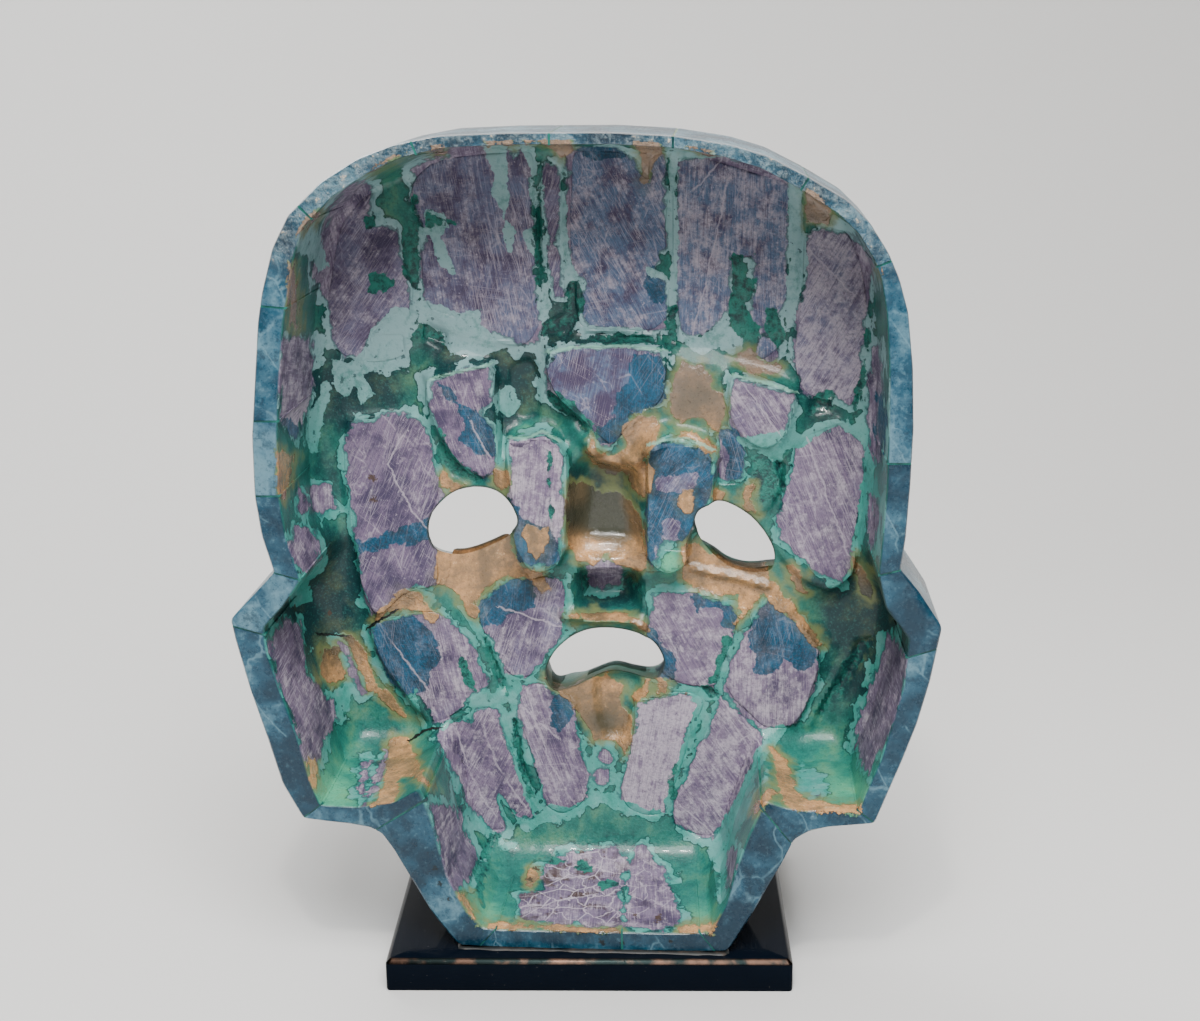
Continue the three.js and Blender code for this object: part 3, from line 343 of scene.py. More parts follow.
MINT_FILM = [
    [[78.5, 213], [72, 217.5], [70.5, 208], [68.5, 203], [71, 201.5], [75, 206], [77.5, 206]],
    [[69.5, 178.5], [66, 176.5], [61, 178], [58, 184.5], [54.5, 188.5], [51, 191.5],
     [46, 190.5], [45.5, 186], [48.5, 184], [48.5, 177.5], [53, 174.7], [57, 174], [61, 173],
     [57, 167], [62, 165], [63, 170], [66, 164.5], [69, 170]],
    [[43.5, 193], [38, 192.2], [33, 189.5], [27.5, 190.5], [27.5, 187], [24, 184], [20, 181.3],
     [29, 177], [31, 179], [36, 178], [38.5, 182], [41.5, 186], [44.5, 188]],
    [[25.5, 236], [19, 236], [19.5, 226], [18.5, 222], [19.5, 216], [17.3, 212], [19, 207.3],
     [20.7, 212], [23, 222], [23.5, 229]],
    [[16, 235], [12.6, 236.5], [12, 228], [13.8, 223.5], [13, 219], [11, 215], [11.5, 226]],
    [[15.5, 212], [12.3, 212], [12, 205.5], [14, 206]],
    [[42, 217.5], [36, 217.8], [35, 213], [38, 211], [34.5, 201], [38, 202.5], [41, 212]],
    [[43.5, 213.3], [41, 212.5], [42, 209], [44.5, 209.7]],
    [[10.2, 227], [10.3, 200], [12, 192], [9.5, 186.5], [8.3, 192], [9.3, 203]],
    [[4.6, 224], [3.5, 212], [2.3, 203], [0.7, 200.5], [3, 197], [5, 205], [5.3, 215]],
    [[-23.7, 237], [-26.3, 237], [-26.2, 205], [-25.7, 191], [-24.2, 191], [-24.4, 205]],
    [[-22, 236], [-35, 236], [-37.5, 231.8], [-31, 231.2], [-26, 230.3], [-22.8, 231.5]],
    [[-56, 228], [-59.3, 226], [-60.2, 212], [-60.6, 198], [-58.3, 193], [-57.7, 186],
     [-55.7, 195], [-56.3, 210]],
    [[-38, 188], [-33, 183.8], [-28, 184], [-28.5, 180.5], [-33, 178.5], [-38, 181],
     [-41, 177.7], [-44, 180], [-44, 184]],
    [[0.5, 187], [-12, 186], [-19, 184.5], [-22, 181.5], [-14, 183], [-4, 182.5], [1, 182]],
    [[-18, 202], [-22.5, 201], [-22.8, 199.8], [-18.5, 200]],
    [[-43, 155], [-46, 152.5], [-51, 151], [-53, 145.5], [-56, 151], [-60, 153.5],
     [-68, 158.5], [-73, 161.5], [-77.3, 154], [-74, 157], [-70, 159.5], [-60, 156],
     [-55, 157.5]],
    [[-78.5, 153], [-80, 146], [-83, 138], [-79.5, 140], [-78.8, 130], [-77, 124],
     [-74.5, 124], [-76.5, 135]],
    [[49, 81], [51.5, 77.5], [47, 70], [43, 69.5], [37, 73], [33, 77], [30, 80.5], [26, 80],
     [24.5, 85], [18, 86], [19, 80.5], [24, 77], [32, 76], [37, 72], [42, 69], [47, 68]],
    [[32, 108], [29.5, 99.5], [26.5, 95], [28.5, 94], [33.5, 101], [36, 106]],
    [[21.5, 70], [19.5, 60], [14.5, 46], [15.5, 41], [21, 58]],
    [[10.5, 46], [20, 38.5], [18, 36], [13.5, 40], [4, 42], [-3, 47], [-9, 45], [-13, 43],
     [-20, 42], [-23, 44], [-16, 46], [-8, 49], [-2, 50], [6, 45]],
    [[-54.5, 71.5], [-58.5, 71.5], [-52, 62], [-45, 46], [-39, 33], [-36, 34], [-43, 49],
     [-50, 65]],
    [[-19, 84.5], [-26, 81], [-33, 83], [-39, 82], [-34.5, 76.5], [-28, 60], [-24, 46],
     [-22, 46], [-27, 63], [-32, 78], [-26, 82.5]],
    [[66.5, 81.5], [68.5, 74], [72, 72.5], [72, 80], [69.5, 84]],
    [[77, 158], [71, 172], [69.5, 170], [72.5, 160], [74, 150], [78, 153]],
    [[85.5, 116], [79, 115], [77, 107], [84, 105.5]],
    [[-60, 57.5], [-62, 60], [-64.5, 58], [-68, 57.5], [-68.3, 52], [-65.5, 50], [-61, 52.5]],
    [[52, 110.5], [46.5, 112.5], [42.5, 108], [44.5, 103], [47, 108], [51, 108.5]],
    [[-28, 114.5], [-20, 113.5], [-20, 111.5], [-28, 111.7]],
    [[-33, 112], [-40, 110.8], [-44, 106], [-41.5, 108.5], [-33, 110.3]],
    [[4.5, 115], [3.5, 108], [4.5, 100], [6.5, 99], [5.2, 108]],
    [[0, 118], [-0.5, 113], [-5, 110.5], [-10.5, 112.5], [-14.5, 116.5], [-10, 110],
     [-5, 108.8], [0.5, 112]],
    [[24.3, 162], [22, 160.5], [20.5, 150], [20.3, 146], [24, 145.5], [23.6, 152]],
    [[23.8, 168.3], [19, 169.8], [16, 165], [20, 160.5], [24, 163.5]],
    [[26, 35], [21, 34], [20, 31.5], [26, 31]],
    [[-44, 47], [-38, 31], [-39, 18], [-40.5, 20], [-41, 32], [-47, 45], [-53, 62], [-52, 55]],
]

DARK_GREEN = [
    [[57.5, 200.5], [52, 200.7], [50, 198], [53, 194.7], [57.5, 196]],
    [[48.5, 209], [44.5, 222], [43.8, 208], [44.5, 196.5], [47, 196], [48, 203]],
    [[58.5, 216], [55.5, 217], [54.5, 213.3], [58, 212]],
    [[41.5, 217], [34.5, 216], [33.5, 213.5], [41.5, 214]],
    [[42.5, 187.5], [37, 184.5], [37, 180], [42.5, 182.5], [46, 183.5]],
    [[3.3, 198], [0, 199.5], [-0.5, 190], [3.5, 183], [11, 184], [9, 188], [4.5, 190]],
    [[11.3, 226], [10.5, 226], [10.8, 196], [12.3, 192], [12.3, 203], [11.8, 215]],
    [[-1, 184.8], [-20, 183.5], [-21, 181.5], [-1, 181.5]],
    [[-23.8, 192], [-26, 192], [-26.5, 180], [-22.5, 180]],
    [[-41, 206], [-43, 205], [-44.5, 199.5], [-47.5, 198.7], [-47.7, 195.5], [-44.5, 193.2],
     [-46.3, 188], [-49, 183.3], [-44.5, 182.5], [-39.7, 187.5], [-40.8, 196]],
    [[-50.5, 191], [-53, 190], [-55.5, 183], [-53.5, 179], [-49.5, 184.7]],
    [[-77.6, 190], [-79, 190], [-76.5, 168], [-74.5, 163.5], [-76, 172]],
    [[-64, 168.5], [-70, 168.5], [-68, 163.5], [-62, 162]],
    [[-46, 150.8], [-51, 149.5], [-55.7, 148.5], [-56.2, 141], [-53.5, 137.5], [-47, 137.5],
     [-46.5, 143]],
    [[39.7, 158], [36, 150], [32, 146], [27.3, 143.2], [31, 141.7], [37, 144.5], [41, 151]],
    [[9.5, 166], [3, 160.5], [-3, 152.5], [-4.5, 156.5], [1.5, 164.5], [9, 168.5]],
    [[9.7, 151.5], [9.1, 151.5], [8.8, 131], [9.6, 131]],
    [[1.5, 118], [-0.5, 119], [-0.8, 112.5], [2, 109.5]],
    [[-11, 118], [-16, 117], [-16.5, 110.5], [-11, 112]],
    [[29.5, 97], [24.5, 81], [22, 80.5], [26.5, 92], [28.5, 97]],
    [[36.8, 91], [34.7, 91], [31.5, 80.5], [34, 81]],
    [[21, 72], [19.8, 72], [18.5, 60], [15.3, 49], [17.3, 48], [20, 60]],
    [[-24.5, 58], [-26.5, 60], [-25.5, 48], [-23.5, 50]],
    [[-39.5, 97.5], [-41.7, 97.5], [-37.5, 84.5], [-35.7, 84.5]],
    [[-33, 83], [-36, 82.8], [-38, 81], [-35.8, 79.5]],
    [[31, 12], [30.5, 22], [26, 36], [28.5, 37], [34, 25]],
    [[-67, 74], [-75, 90], [-73.5, 91], [-65.5, 75]],
    [[-82, 99], [-72, 80], [-71, 85], [-77, 97]],
    [[7, 27.8], [1, 29], [-4, 27], [1, 24.6]], [[-3, 22.5], [-8, 24], [-9.5, 20.5], [-4, 19]],
    [[13, 28.5], [9, 30.5], [6, 29.5], [10, 27.5]],
]

PALE_LINES = [
    [[-39.5, 226], [-37.5, 215], [-30.5, 184]], [[59, 101], [45, 80], [42.5, 70]],
    [[-38, 80], [-50, 66]], [[-50.5, 71.5], [-42, 65.5]], [[-60, 208], [-79, 190]],
    [[50, 156], [55, 148], [48, 134], [42, 126]], [[38, 72], [34, 55], [27, 42]],
    [[-44, 171], [-54, 157]], [[-29.5, 222], [-38, 231]], [[30, 71], [26, 58], [17, 44]],
    [[17, 82], [11, 60], [3, 46]], [[-61, 157], [-74, 122]], [[43, 38], [38, 47]],
    [[24, 106], [7, 100.5]], [[20, 13], [-2, 18]], [[12, 32], [11, 22], [0, 24]],
    [[18, 76], [8, 67]], [[-27, 47], [-37, 38]], [[31, 160], [26, 150]],
]
# Painted highlights: thin light lines along the top edges of plates, where the light catches them
LIT_EDGES = [
    [[-18.8, 153.6], [-23, 154.8], [-29, 155.2], [-36, 152.2]], [[25, 175.8], [33, 174], [42, 171.6]],
    [[-22.5, 179.9], [-12, 181], [0, 180.8], [9, 179.3]], [[-41.5, 173], [-50, 171], [-58.3, 168.4]],
    [[6.8, 154.5], [11, 157.2], [16, 155], [20, 155.2]],
]
CRACKS = [
    [[62, 99.5], [57.5, 102.5], [54, 104.5]], [[51, 65.5], [47, 68.5], [43.5, 69.3]],
    [[76.5, 97.5], [69, 97]],
]

# Painted shade and painted light on the hollow side, as darker and lighter pools [x, z, reach,
# strength], and dark spots [x, z, radius]

PAINTED_SHADE_AND_LIGHT = [
    [79, 111, 13, -1.0], [75, 99, 10, -0.6], [-82, 104, 12, -1.0], [-78, 86, 9, -0.5],
    [-6, 142, 5, -0.9], [-6, 135, 6, -0.7], [-10, 130, 5, -0.5], [-3, 129, 6, -0.5], [21, 161, 6, -0.6],
    [-7, 110, 8, -0.8], [5, 133, 5, -0.6], [6, 143, 5, -0.7],
    [-6, 72, 6, -0.6], [62, 128, 5, -0.3], [72, 118, 9, -0.5], [-70, 112, 7, -0.4],
    [2, 182, 16, -0.6], [-32, 168, 8, -0.4], [32, 178, 9, -0.9], [16, 172, 9, -0.6],
    [69, 168, 12, -0.6], [55, 170, 8, -0.5], [70, 147, 6, -0.4],
    [-51, 146, 6, -0.3], [-66, 162, 6, -0.5], [48, 192, 8, -0.4], [62, 60, 5, -0.3],
    [75, 49, 9, 0.9], [66, 60, 8, 0.2], [-74, 51, 10, 0.7], [-66, 66, 9, 0.15], [-80, 74, 8, -0.1],
    [16, 156.5, 3.5, 1.0], [-24, 120, 4, 1.0], [29, 12, 7, 0.5], [-33, 12, 6, 0.5],
    [66, 150, 6, 0.3], [-28, 155, 5, 0.6], [-9, 105, 5, 0.5],
    [-4, 122.5, 6, 0.5], [-42, 103.5, 6, 0.4],
]
SPOTS = [
    [59, 143.5, 1.2], [59, 137.5, 1.0], [47.5, 29, 0.8], [46, 25, 1.2], [44.5, 20.5, 0.9],
    [49.5, 32.5, 0.5], [43, 15.5, 0.6], [48.5, 21.5, 0.4], [12, 24, 0.4], [8, 16.5, 0.3],
    [-14, 11.5, 0.7], [-20, 9.5, 0.4], [17, 22.5, 0.7], [72.8, 104, 0.7], [-29, 81, 0.5],
    [13, 29, 0.5], [15, 25.5, 1.1], [9.5, 24, 0.9], [2, 31, 0.7], [-5, 30.5, 0.8],
    [-21, 11, 1.0], [-4, 3, 0.7], [-10, 2.4, 1.2], [6, 2.4, 0.5], [-25, 2.7, 0.6],
]

# How blue and how pale each plate's ground back is

TINTS = {
    "forehead_outer_left": (0.35, 0.2), "forehead_inner_left": (0.5, 0.2),
    "forehead_sliver": (0.4, 0.1), "forehead_middle": (0.85, 0.3),
    "forehead_inner_right": (0.8, 0.7), "forehead_outer_right": (0.4, 1.1),
    "brow_left": (0.1, 0.0), "glabella": (0.65, -0.6), "brow_right": (0.2, 0.3),
    "eyelid_right": (0.2, 0.2), "temple_left": (0.05, -0.4), "temple_right": (0.1, 0.35),
    "nose_side_left": (0.0, 0.8), "nose_side_right": (0.5, 0.1), "cheek_outer_left": (0.2, 0.3),
    "cheek_inner_left": (0.3, 0.0), "cheek_inner_right": (0.15, 0.5),
    "cheek_outer_right": (0.1, 0.7), "jaw_outer_left": (0.1, 0.3), "jaw_inner_left": (0.2, 0.4),
    "jaw_inner_right": (0.05, 1.4), "jaw_outer_right": (0.05, 0.7),
    "chin_wall_left": (0.15, 0.0), "chin_wall_right": (0.15, 0.0), "jaw_wall_left": (0.15, 0.15),
    "jaw_wall_right": (0.15, 0.25), "ear_wall_lower_left": (0.1, 0.2),
    "ear_wall_lower_right": (0.1, 0.2), "ear_wall_outer_left": (0.1, 0.15),
    "ear_wall_outer_right": (0.1, 0.0), "ear_wall_upper_left": (0.1, 0.4),
    "ear_wall_upper_right": (0.1, 0.4), "temple_wall_pale_left": (0.15, 1.7),
    "temple_wall_lower_left": (0.15, 0.15), "temple_wall_middle_left": (0.15, 0.5),
    "temple_wall_upper_left": (0.15, 0.5), "temple_wall_upper_right": (0.15, 0.5),
    "temple_wall_lower_right": (0.15, 0.2),
}
PLAIN_TINT = (0.15, 0.45)

# Colours, as linear red, green and blue

COLOURS = {
    "stone_deep": (0.0030, 0.022, 0.042), "stone_blue": (0.013, 0.070, 0.115),
    "stone_pale": (0.110, 0.220, 0.275), "stone_white": (0.340, 0.440, 0.470),
    "thin_blue": (0.006, 0.093, 0.182),
    "mauve": (0.160, 0.116, 0.190), "mauve_blue": (0.080, 0.128, 0.225),
    "mauve_pale": (0.440, 0.385, 0.450), "mauve_dark": (0.050, 0.036, 0.082),
    "mint": (0.045, 0.270, 0.230), "mint_grey": (0.235, 0.385, 0.400),
    "mint_light": (0.240, 0.520, 0.400),
    "green": (0.012, 0.155, 0.120), "green_dark": (0.0014, 0.028, 0.032),
    "green_light": (0.095, 0.420, 0.240),
    "tan": (0.560, 0.295, 0.120), "tan_deep": (0.190, 0.120, 0.062),
    "tan_grey": (0.225, 0.180, 0.150), "shadow": (0.026, 0.036, 0.026),
    "warm_reflection": (0.030, 0.018, 0.013), "dust": (0.160, 0.150, 0.140),
    "olive": (0.170, 0.190, 0.065), "cream": (0.700, 0.560, 0.380),
    "slab": (0.0014, 0.0030, 0.0065), "slab_cloud": (0.004, 0.007, 0.013),
    "floor": (0.640, 0.640, 0.632), "glue": (0.030, 0.020, 0.014), "black": (0.004, 0.006, 0.006),
    "earth": (0.055, 0.030, 0.018),
}

PLATE_NODES = [part["node"] for part in frame["record"]["subparts"]
               if part["material_slot"] == "ground_stone"]


# Places: the mask's own millimetres, the world's metres and the sheet

TURN = np.array([[cos(MASK_TURN), -sin(MASK_TURN)], [sin(MASK_TURN), cos(MASK_TURN)]])


def to_world(local):
    """World metres of [x, depth, z]: depth turned to -y, a turn about z, then the mask's place."""
    flat = np.stack([local[..., 0], -local[..., 1]], axis=-1) @ TURN.T
    return (np.concatenate([flat, local[..., 2:]], axis=-1) + MASK_PLACE) / 1000


def to_local(world):
    """[x, depth, z] of world metres: the mask's place taken off, then the turn undone."""
    placed = world * 1000 - MASK_PLACE
    flat = placed[..., :2] @ TURN
    return np.stack([flat[..., 0], -flat[..., 1], placed[..., 2]], axis=-1)


def to_sheet(local):
    """Sheet [x, z] of [x, depth, z]: the line to VIEW_POINT cut with the rim's plane, so the reach
    from VIEW_POINT shrinks by its distance over its distance plus the depth."""
    shrink = VIEW_POINT[1] / (VIEW_POINT[1] + local[..., 1])
    return np.stack([VIEW_POINT[0] + (local[..., 0] - VIEW_POINT[0]) * shrink,
                     VIEW_POINT[2] + (local[..., 2] - VIEW_POINT[2]) * shrink], axis=-1)


# Outlines

def evenly(curve, spacing):
    """The closed line at even steps: equal shares of its length, read off between its points."""
    closed = np.vstack([curve, curve[:1]])
    along = np.concatenate([[0], np.cumsum(np.linalg.norm(np.diff(closed, axis=0), axis=1))])
    at = np.arange(max(round(along[-1] / spacing), 12)) * 1.0
    at *= along[-1] / len(at)
    return np.stack([np.interp(at, along, column) for column in closed.T], axis=1)


def smooth_outline(points, spacing):
    """A smooth closed line through points. Each stretch is the cubic that leaves and meets its ends
    along slopes averaged over the square roots of the gaps beside them."""
    here = np.asarray(points, float)
    before, after, beyond = (np.roll(here, turn, axis=0) for turn in (1, -1, -2))
    first, middle, last = (np.sqrt(np.linalg.norm(end - start, axis=1))[:, None]
                           for start, end in ((before, here), (here, after), (after, beyond)))
    leave = ((here - before) / first - (after - before) / (first + middle)
             + (after - here) / middle) * middle
    meet = ((after - here) / middle - (beyond - here) / (middle + last)
            + (beyond - after) / last) * middle
    share = np.linspace(0, 1, 16, endpoint=False)[None, :, None]
    start, end, leave, meet = (item[:, None] for item in (here, after, leave, meet))
    curve = (start + leave * share + (3 * (end - start) - 2 * leave - meet) * share ** 2
             + (2 * (start - end) + leave + meet) * share ** 3)
    return evenly(curve.reshape(-1, 2), spacing)


def crossing(first, second):
    """The flat cross product, x of one by z of the other less z by x."""
    return first[..., 0] * second[..., 1] - first[..., 1] * second[..., 0]


def grown(outline, distance):
    """The outline moved outwards: each point shifts along the mean of its two edges' normals,
    further at a sharp corner so that the edges keep the distance."""
    edge = np.roll(outline, -1, axis=0) - outline
    turn = np.sign(crossing(outline, np.roll(outline, -1, axis=0)).sum())
    normal = np.stack([edge[:, 1], -edge[:, 0]], axis=1) * turn
    normal /= np.linalg.norm(normal, axis=1)[:, None]
    middle = normal + np.roll(normal, 1, axis=0)
    middle /= np.linalg.norm(middle, axis=1)[:, None]
    reach = distance / np.maximum((middle * normal).sum(axis=1), 0.5)
    return outline + middle * reach[:, None]


def kept_inside(centre, outline, fences):
    """Pulls each point back towards the centre, to the nearest fence that its ray meets."""
    ray = outline - centre
    share = np.ones(len(outline))
    for fence in fences:
        step = np.roll(fence, -1, axis=0) - fence
        across = crossing(ray[:, None], step[None])
        across = np.where(np.abs(across) < 1e-9, 1e-9, across)
        on_ray = crossing(fence - centre, step)[None] / across
        on_fence = crossing((fence - centre)[None], ray[:, None]) / across
        met = (on_fence >= 0) & (on_fence <= 1) & (on_ray > 0)
        share = np.minimum(share, np.where(met, on_ray, 1).min(axis=1))
    return centre + ray * share[:, None]


def line_distance(points, line, closed=False):
    """Distance of each point to a line of straight steps: to the nearest place on any step."""
    start = np.asarray(line, float)
    end = np.roll(start, -1, axis=0)
    if not closed:
        start, end = start[:-1], end[:-1]
    step = end - start
    offset = points[:, None] - start
    share = np.clip((offset * step).sum(-1) / (step ** 2).sum(-1), 0, 1)
    return np.linalg.norm(offset - share[..., None] * step, axis=-1).min(axis=1)


def inside_distance(points, outline):
    """How far each point lies inside a closed line, and outside as a negative distance. A point is
    inside when a ray from it along x crosses the line an odd number of times."""
    start = np.asarray(outline, float)
    end = np.roll(start, -1, axis=0)
    spans = (points[:, None, 1] < start[:, 1]) != (points[:, None, 1] < end[:, 1])
    rise = np.where(end[:, 1] == start[:, 1], 1, end[:, 1] - start[:, 1])
    cut = start[:, 0] + (points[:, None, 1] - start[:, 1]) * (end[:, 0] - start[:, 0]) / rise
    inside = (spans & (points[:, None, 0] < cut)).sum(axis=1) % 2 == 1
    return line_distance(points, start, True) * np.where(inside, 1, -1)


# Beyond this distance the drawings have no effect

FAR = 9.0


def drawn_distance(points, shapes, measure):
    """The largest measure over the shapes, where each one is measured only near it and FAR out
    is the value elsewhere."""
    best = np.full(len(points), -FAR)
    for shape in shapes:
        corners = np.asarray(shape, float)
        near = ((points > corners.min(0) - FAR) & (points < corners.max(0) + FAR)).all(axis=1)
        if near.any():
            best[near] = np.maximum(best[near], measure(points[near], corners))
    return best


# The rim

RIM_STATIONS = np.array(RIM + RIM[:1], float)
RIM_MIDDLE = (RIM_STATIONS[:, :2] + RIM_STATIONS[:, 2:]) / 2
RIM_ALONG = np.concatenate([[0], np.cumsum(np.linalg.norm(np.diff(RIM_MIDDLE, axis=0), axis=1))])
RIM_LENGTH = RIM_ALONG[-1]
EDGE_SMOOTHING = 0.7


def rim_at(along):
    """Outer and inner edge [x, z, x, z] at a length along the rim: the mean of five places a small
    step apart, weighted 1 4 6 4 1, which rounds the corners between the stations."""
    steps = np.arange(-2, 3) * EDGE_SMOOTHING
    at = (np.asarray(along)[..., None] + steps) % RIM_LENGTH
    return np.stack([np.interp(at, RIM_ALONG, column) @ np.array([1, 4, 6, 4, 1]) / 16
                     for column in RIM_STATIONS.T], axis=-1)


def wall_points(along, across, depth):
    """[x, z] of the wall: across is 0 on its outer face and 1 on its inner face, which leans inwards
    with depth by LEAN."""
    edges = rim_at(along)
    outer, inner = edges[..., :2], edges[..., 2:]
    lean = np.where((inner[..., 1] < 12) & (np.abs(inner[..., 0]) < 40), LEAN["chin"],
                    np.where(inner[..., 1] > 225, LEAN["crown"], LEAN["side"]))
    thickness = np.linalg.norm(inner - outer, axis=-1)
    stretch = across * (1 + lean * depth / thickness)
    return outer + (inner - outer) * stretch[..., None]


def rim_outline(across, depth, spacing):
    """The closed line of the walls' outer or inner face at one depth."""
    along = np.arange(0, RIM_LENGTH, spacing)
    return wall_points(along, np.full(along.shape, across), np.full(along.shape, depth))


OUTER_OUTLINE = rim_outline(0.0, 0.0, 6.0)
INNER_DEPTH = 41.0
INNER_OUTLINE = rim_outline(1.0, INNER_DEPTH, 2.0)
RIM_EDGE = rim_outline(1.0, 0.0, 2.0)
EYES_AND_MOUTH = [smooth_outline(points, 0.8) for points in (LEFT_EYE, RIGHT_EYE, MOUTH)]

# How far the two eyes and the mouth widen towards the front

FLARES = (3.0, 3.0, 0.5)
FLARED = [grown(outline, flare) for outline, flare in zip(EYES_AND_MOUTH, FLARES)]


# The front of the face

FACE_AXIS_X = -3.0


def bell(distance, width):
    """1 in the middle, falling as exp of minus the squared distance over the width."""
    return np.exp(-(distance / width) ** 2)


def ramp(value, low, high):
    """0 below low, 1 above high, and the smooth cubic 3t2 - 2t3 between."""
    share = np.clip((value - low) / (high - low), 0, 1)
    return share * share * (3 - 2 * share)


def face_depth(x, z):
    """Depth of the face's front: a shallow dome, rounded at its edge, plus a nose, brows, eyelids
    round hollow eyes, lips, a chin, cheeks and ear ridges, each a bell or a ramp."""
    side = np.abs(x - FACE_AXIS_X)
    points = np.stack([x, z], axis=-1).reshape(-1, 2)
    edge = line_distance(points, OUTER_OUTLINE, True).reshape(np.shape(x))
    drop = ramp(142 - z, 0, 44)
    nose = 20 * drop * ramp(z, 88.5, 93) * np.exp(-(side / (7.5 + 6.5 * drop)) ** 2.6)
    brow = 4.5 * bell(z - 141 + 0.006 * (side - 30) ** 2, 7) * ramp(72 - side, 0, 16)
    ears = 0.8 * ramp(side, 70, 76) * ramp(114 - z, 0, 6) + 3 * bell(side - 86, 6) * bell(z - 76, 24)
    eyes = 0
    for middle_x, middle_z in ((37.5, 120.5), (-42, 116)):
        reach = np.hypot((x - middle_x) / 14, (z - middle_z) / 11)
        eyes = eyes - 4 * bell(reach, 2) + 3 * bell(reach - 1.25, 0.22)
    lips = 4.5 * bell(np.hypot((x - FACE_AXIS_X) / 18.5, (z - 76) / 9.5) - 1.28, 0.24)
    nostrils = 4.5 * bell(side - 10, 5) * bell(z - 96, 6)
    chin = 6.5 * bell(side, 26) * bell(z - 24, 17)
    cheeks = 2.5 * bell(side - 42, 22) * bell(z - 88, 20)
    dome = 57.5 - 4 * (side / 85) ** 2 - 3 * ((z - 125) / 125) ** 2
    rounding = 8 * (1 - np.minimum(edge / 13, 1)) ** 2
    return dome - rounding + nose + brow + ears + eyes + lips + nostrils + chin + cheeks


def ripple(x, z, length, seed):
    """Gentle unevenness from -1 to 1: the mean of five sine waves across the plane, with lengths
    near the one asked for and directions and starts drawn from the seed."""
    draw = np.random.default_rng(seed)
    total = np.zeros(np.shape(x))
    for _ in range(5):
        angle, start, stretch = draw.uniform(0, 2 * pi), draw.uniform(0, 2 * pi), draw.uniform(0.7, 1.5)
        total = total + np.sin(2 * pi * (x * cos(angle) + z * sin(angle)) / (length * stretch) + start)
    return total / 5


# Plates of the face, read from the frame

def triangle_corners(mesh):
    """The three vertex numbers of each of a mesh's triangles."""
    mesh.calc_loop_triangles()
    corners = np.empty(len(mesh.loop_triangles) * 3, int)
    mesh.loop_triangles.foreach_get("vertices", corners)
    return corners.reshape(-1, 3)


def loose_triangles(node):
    """The corners of a node's triangles, in the mask's own millimetres."""
    mesh = frame["nodes"][node].data
    points = np.empty(len(mesh.vertices) * 3)
    mesh.vertices.foreach_get("co", points)
    return to_local(points.reshape(-1, 3))[triangle_corners(mesh)]


FLAT_ENOUGH = 0.03
CORNERS_ON_A_BACK = 30


def plate_back(node):
    """The corners of a plate's flat back, in order round its middle, with that middle and depth: the
    least depth that many corners share. They are the ends there of triangles that leave it."""
    triangles = loose_triangles(node)
    depths, counts = np.unique(np.round(triangles[..., 1], 1), return_counts=True)
    depth = depths[counts > CORNERS_ON_A_BACK].min()
    on_back = np.abs(triangles[..., 1] - depth) < FLAT_ENOUGH
    sides = on_back.any(axis=1) & ~on_back.all(axis=1)
    ends = triangles[sides][on_back[sides]][:, [0, 2]]
    corners = np.unique(np.round(ends, 2), axis=0)
    middle = corners.mean(axis=0)
    order = np.argsort(np.arctan2(*(corners - middle).T[::-1]))
    return {"name": node, "corners": corners[order], "middle": middle, "depth": depth}


def all_plates():
    """Every plate with its fine outline: smooth through the back's corners, clear of the walls and
    the openings."""
    fences = [grown(INNER_OUTLINE, -1.2), *EYES_AND_MOUTH]
    plates = [plate_back(node) for node in PLATE_NODES]
    for plate in plates:
        outline = smooth_outline(plate["corners"], 0.9)
        plate["outline"] = kept_inside(plate["middle"], outline, fences)
        plate["level"] = RESIN_LEVELS.get(plate["name"])
    return plates


# Resin of the hollow side

def from_sheet(line, depth):
    """[x, z] at a depth of points drawn on the sheet: the reach from VIEW_POINT grown by depth."""
    eye = VIEW_POINT[[0, 2]]
    return eye + (np.asarray(line, float) - eye) * (1 + depth / VIEW_POINT[1])


def smoothed(grid, reach):
    """The grid with each value replaced by the mean of those round it, weighted by a bell."""
    steps = np.arange(-3 * reach, 3 * reach + 1)
    weights = bell(steps, reach * 1.4)
    weights /= weights.sum()
    wide = np.pad(grid, 3 * reach, mode="edge")
    rows = np.lib.stride_tricks.sliding_window_view(wide, len(weights), axis=0) @ weights
    return np.lib.stride_tricks.sliding_window_view(rows, len(weights), axis=1) @ weights


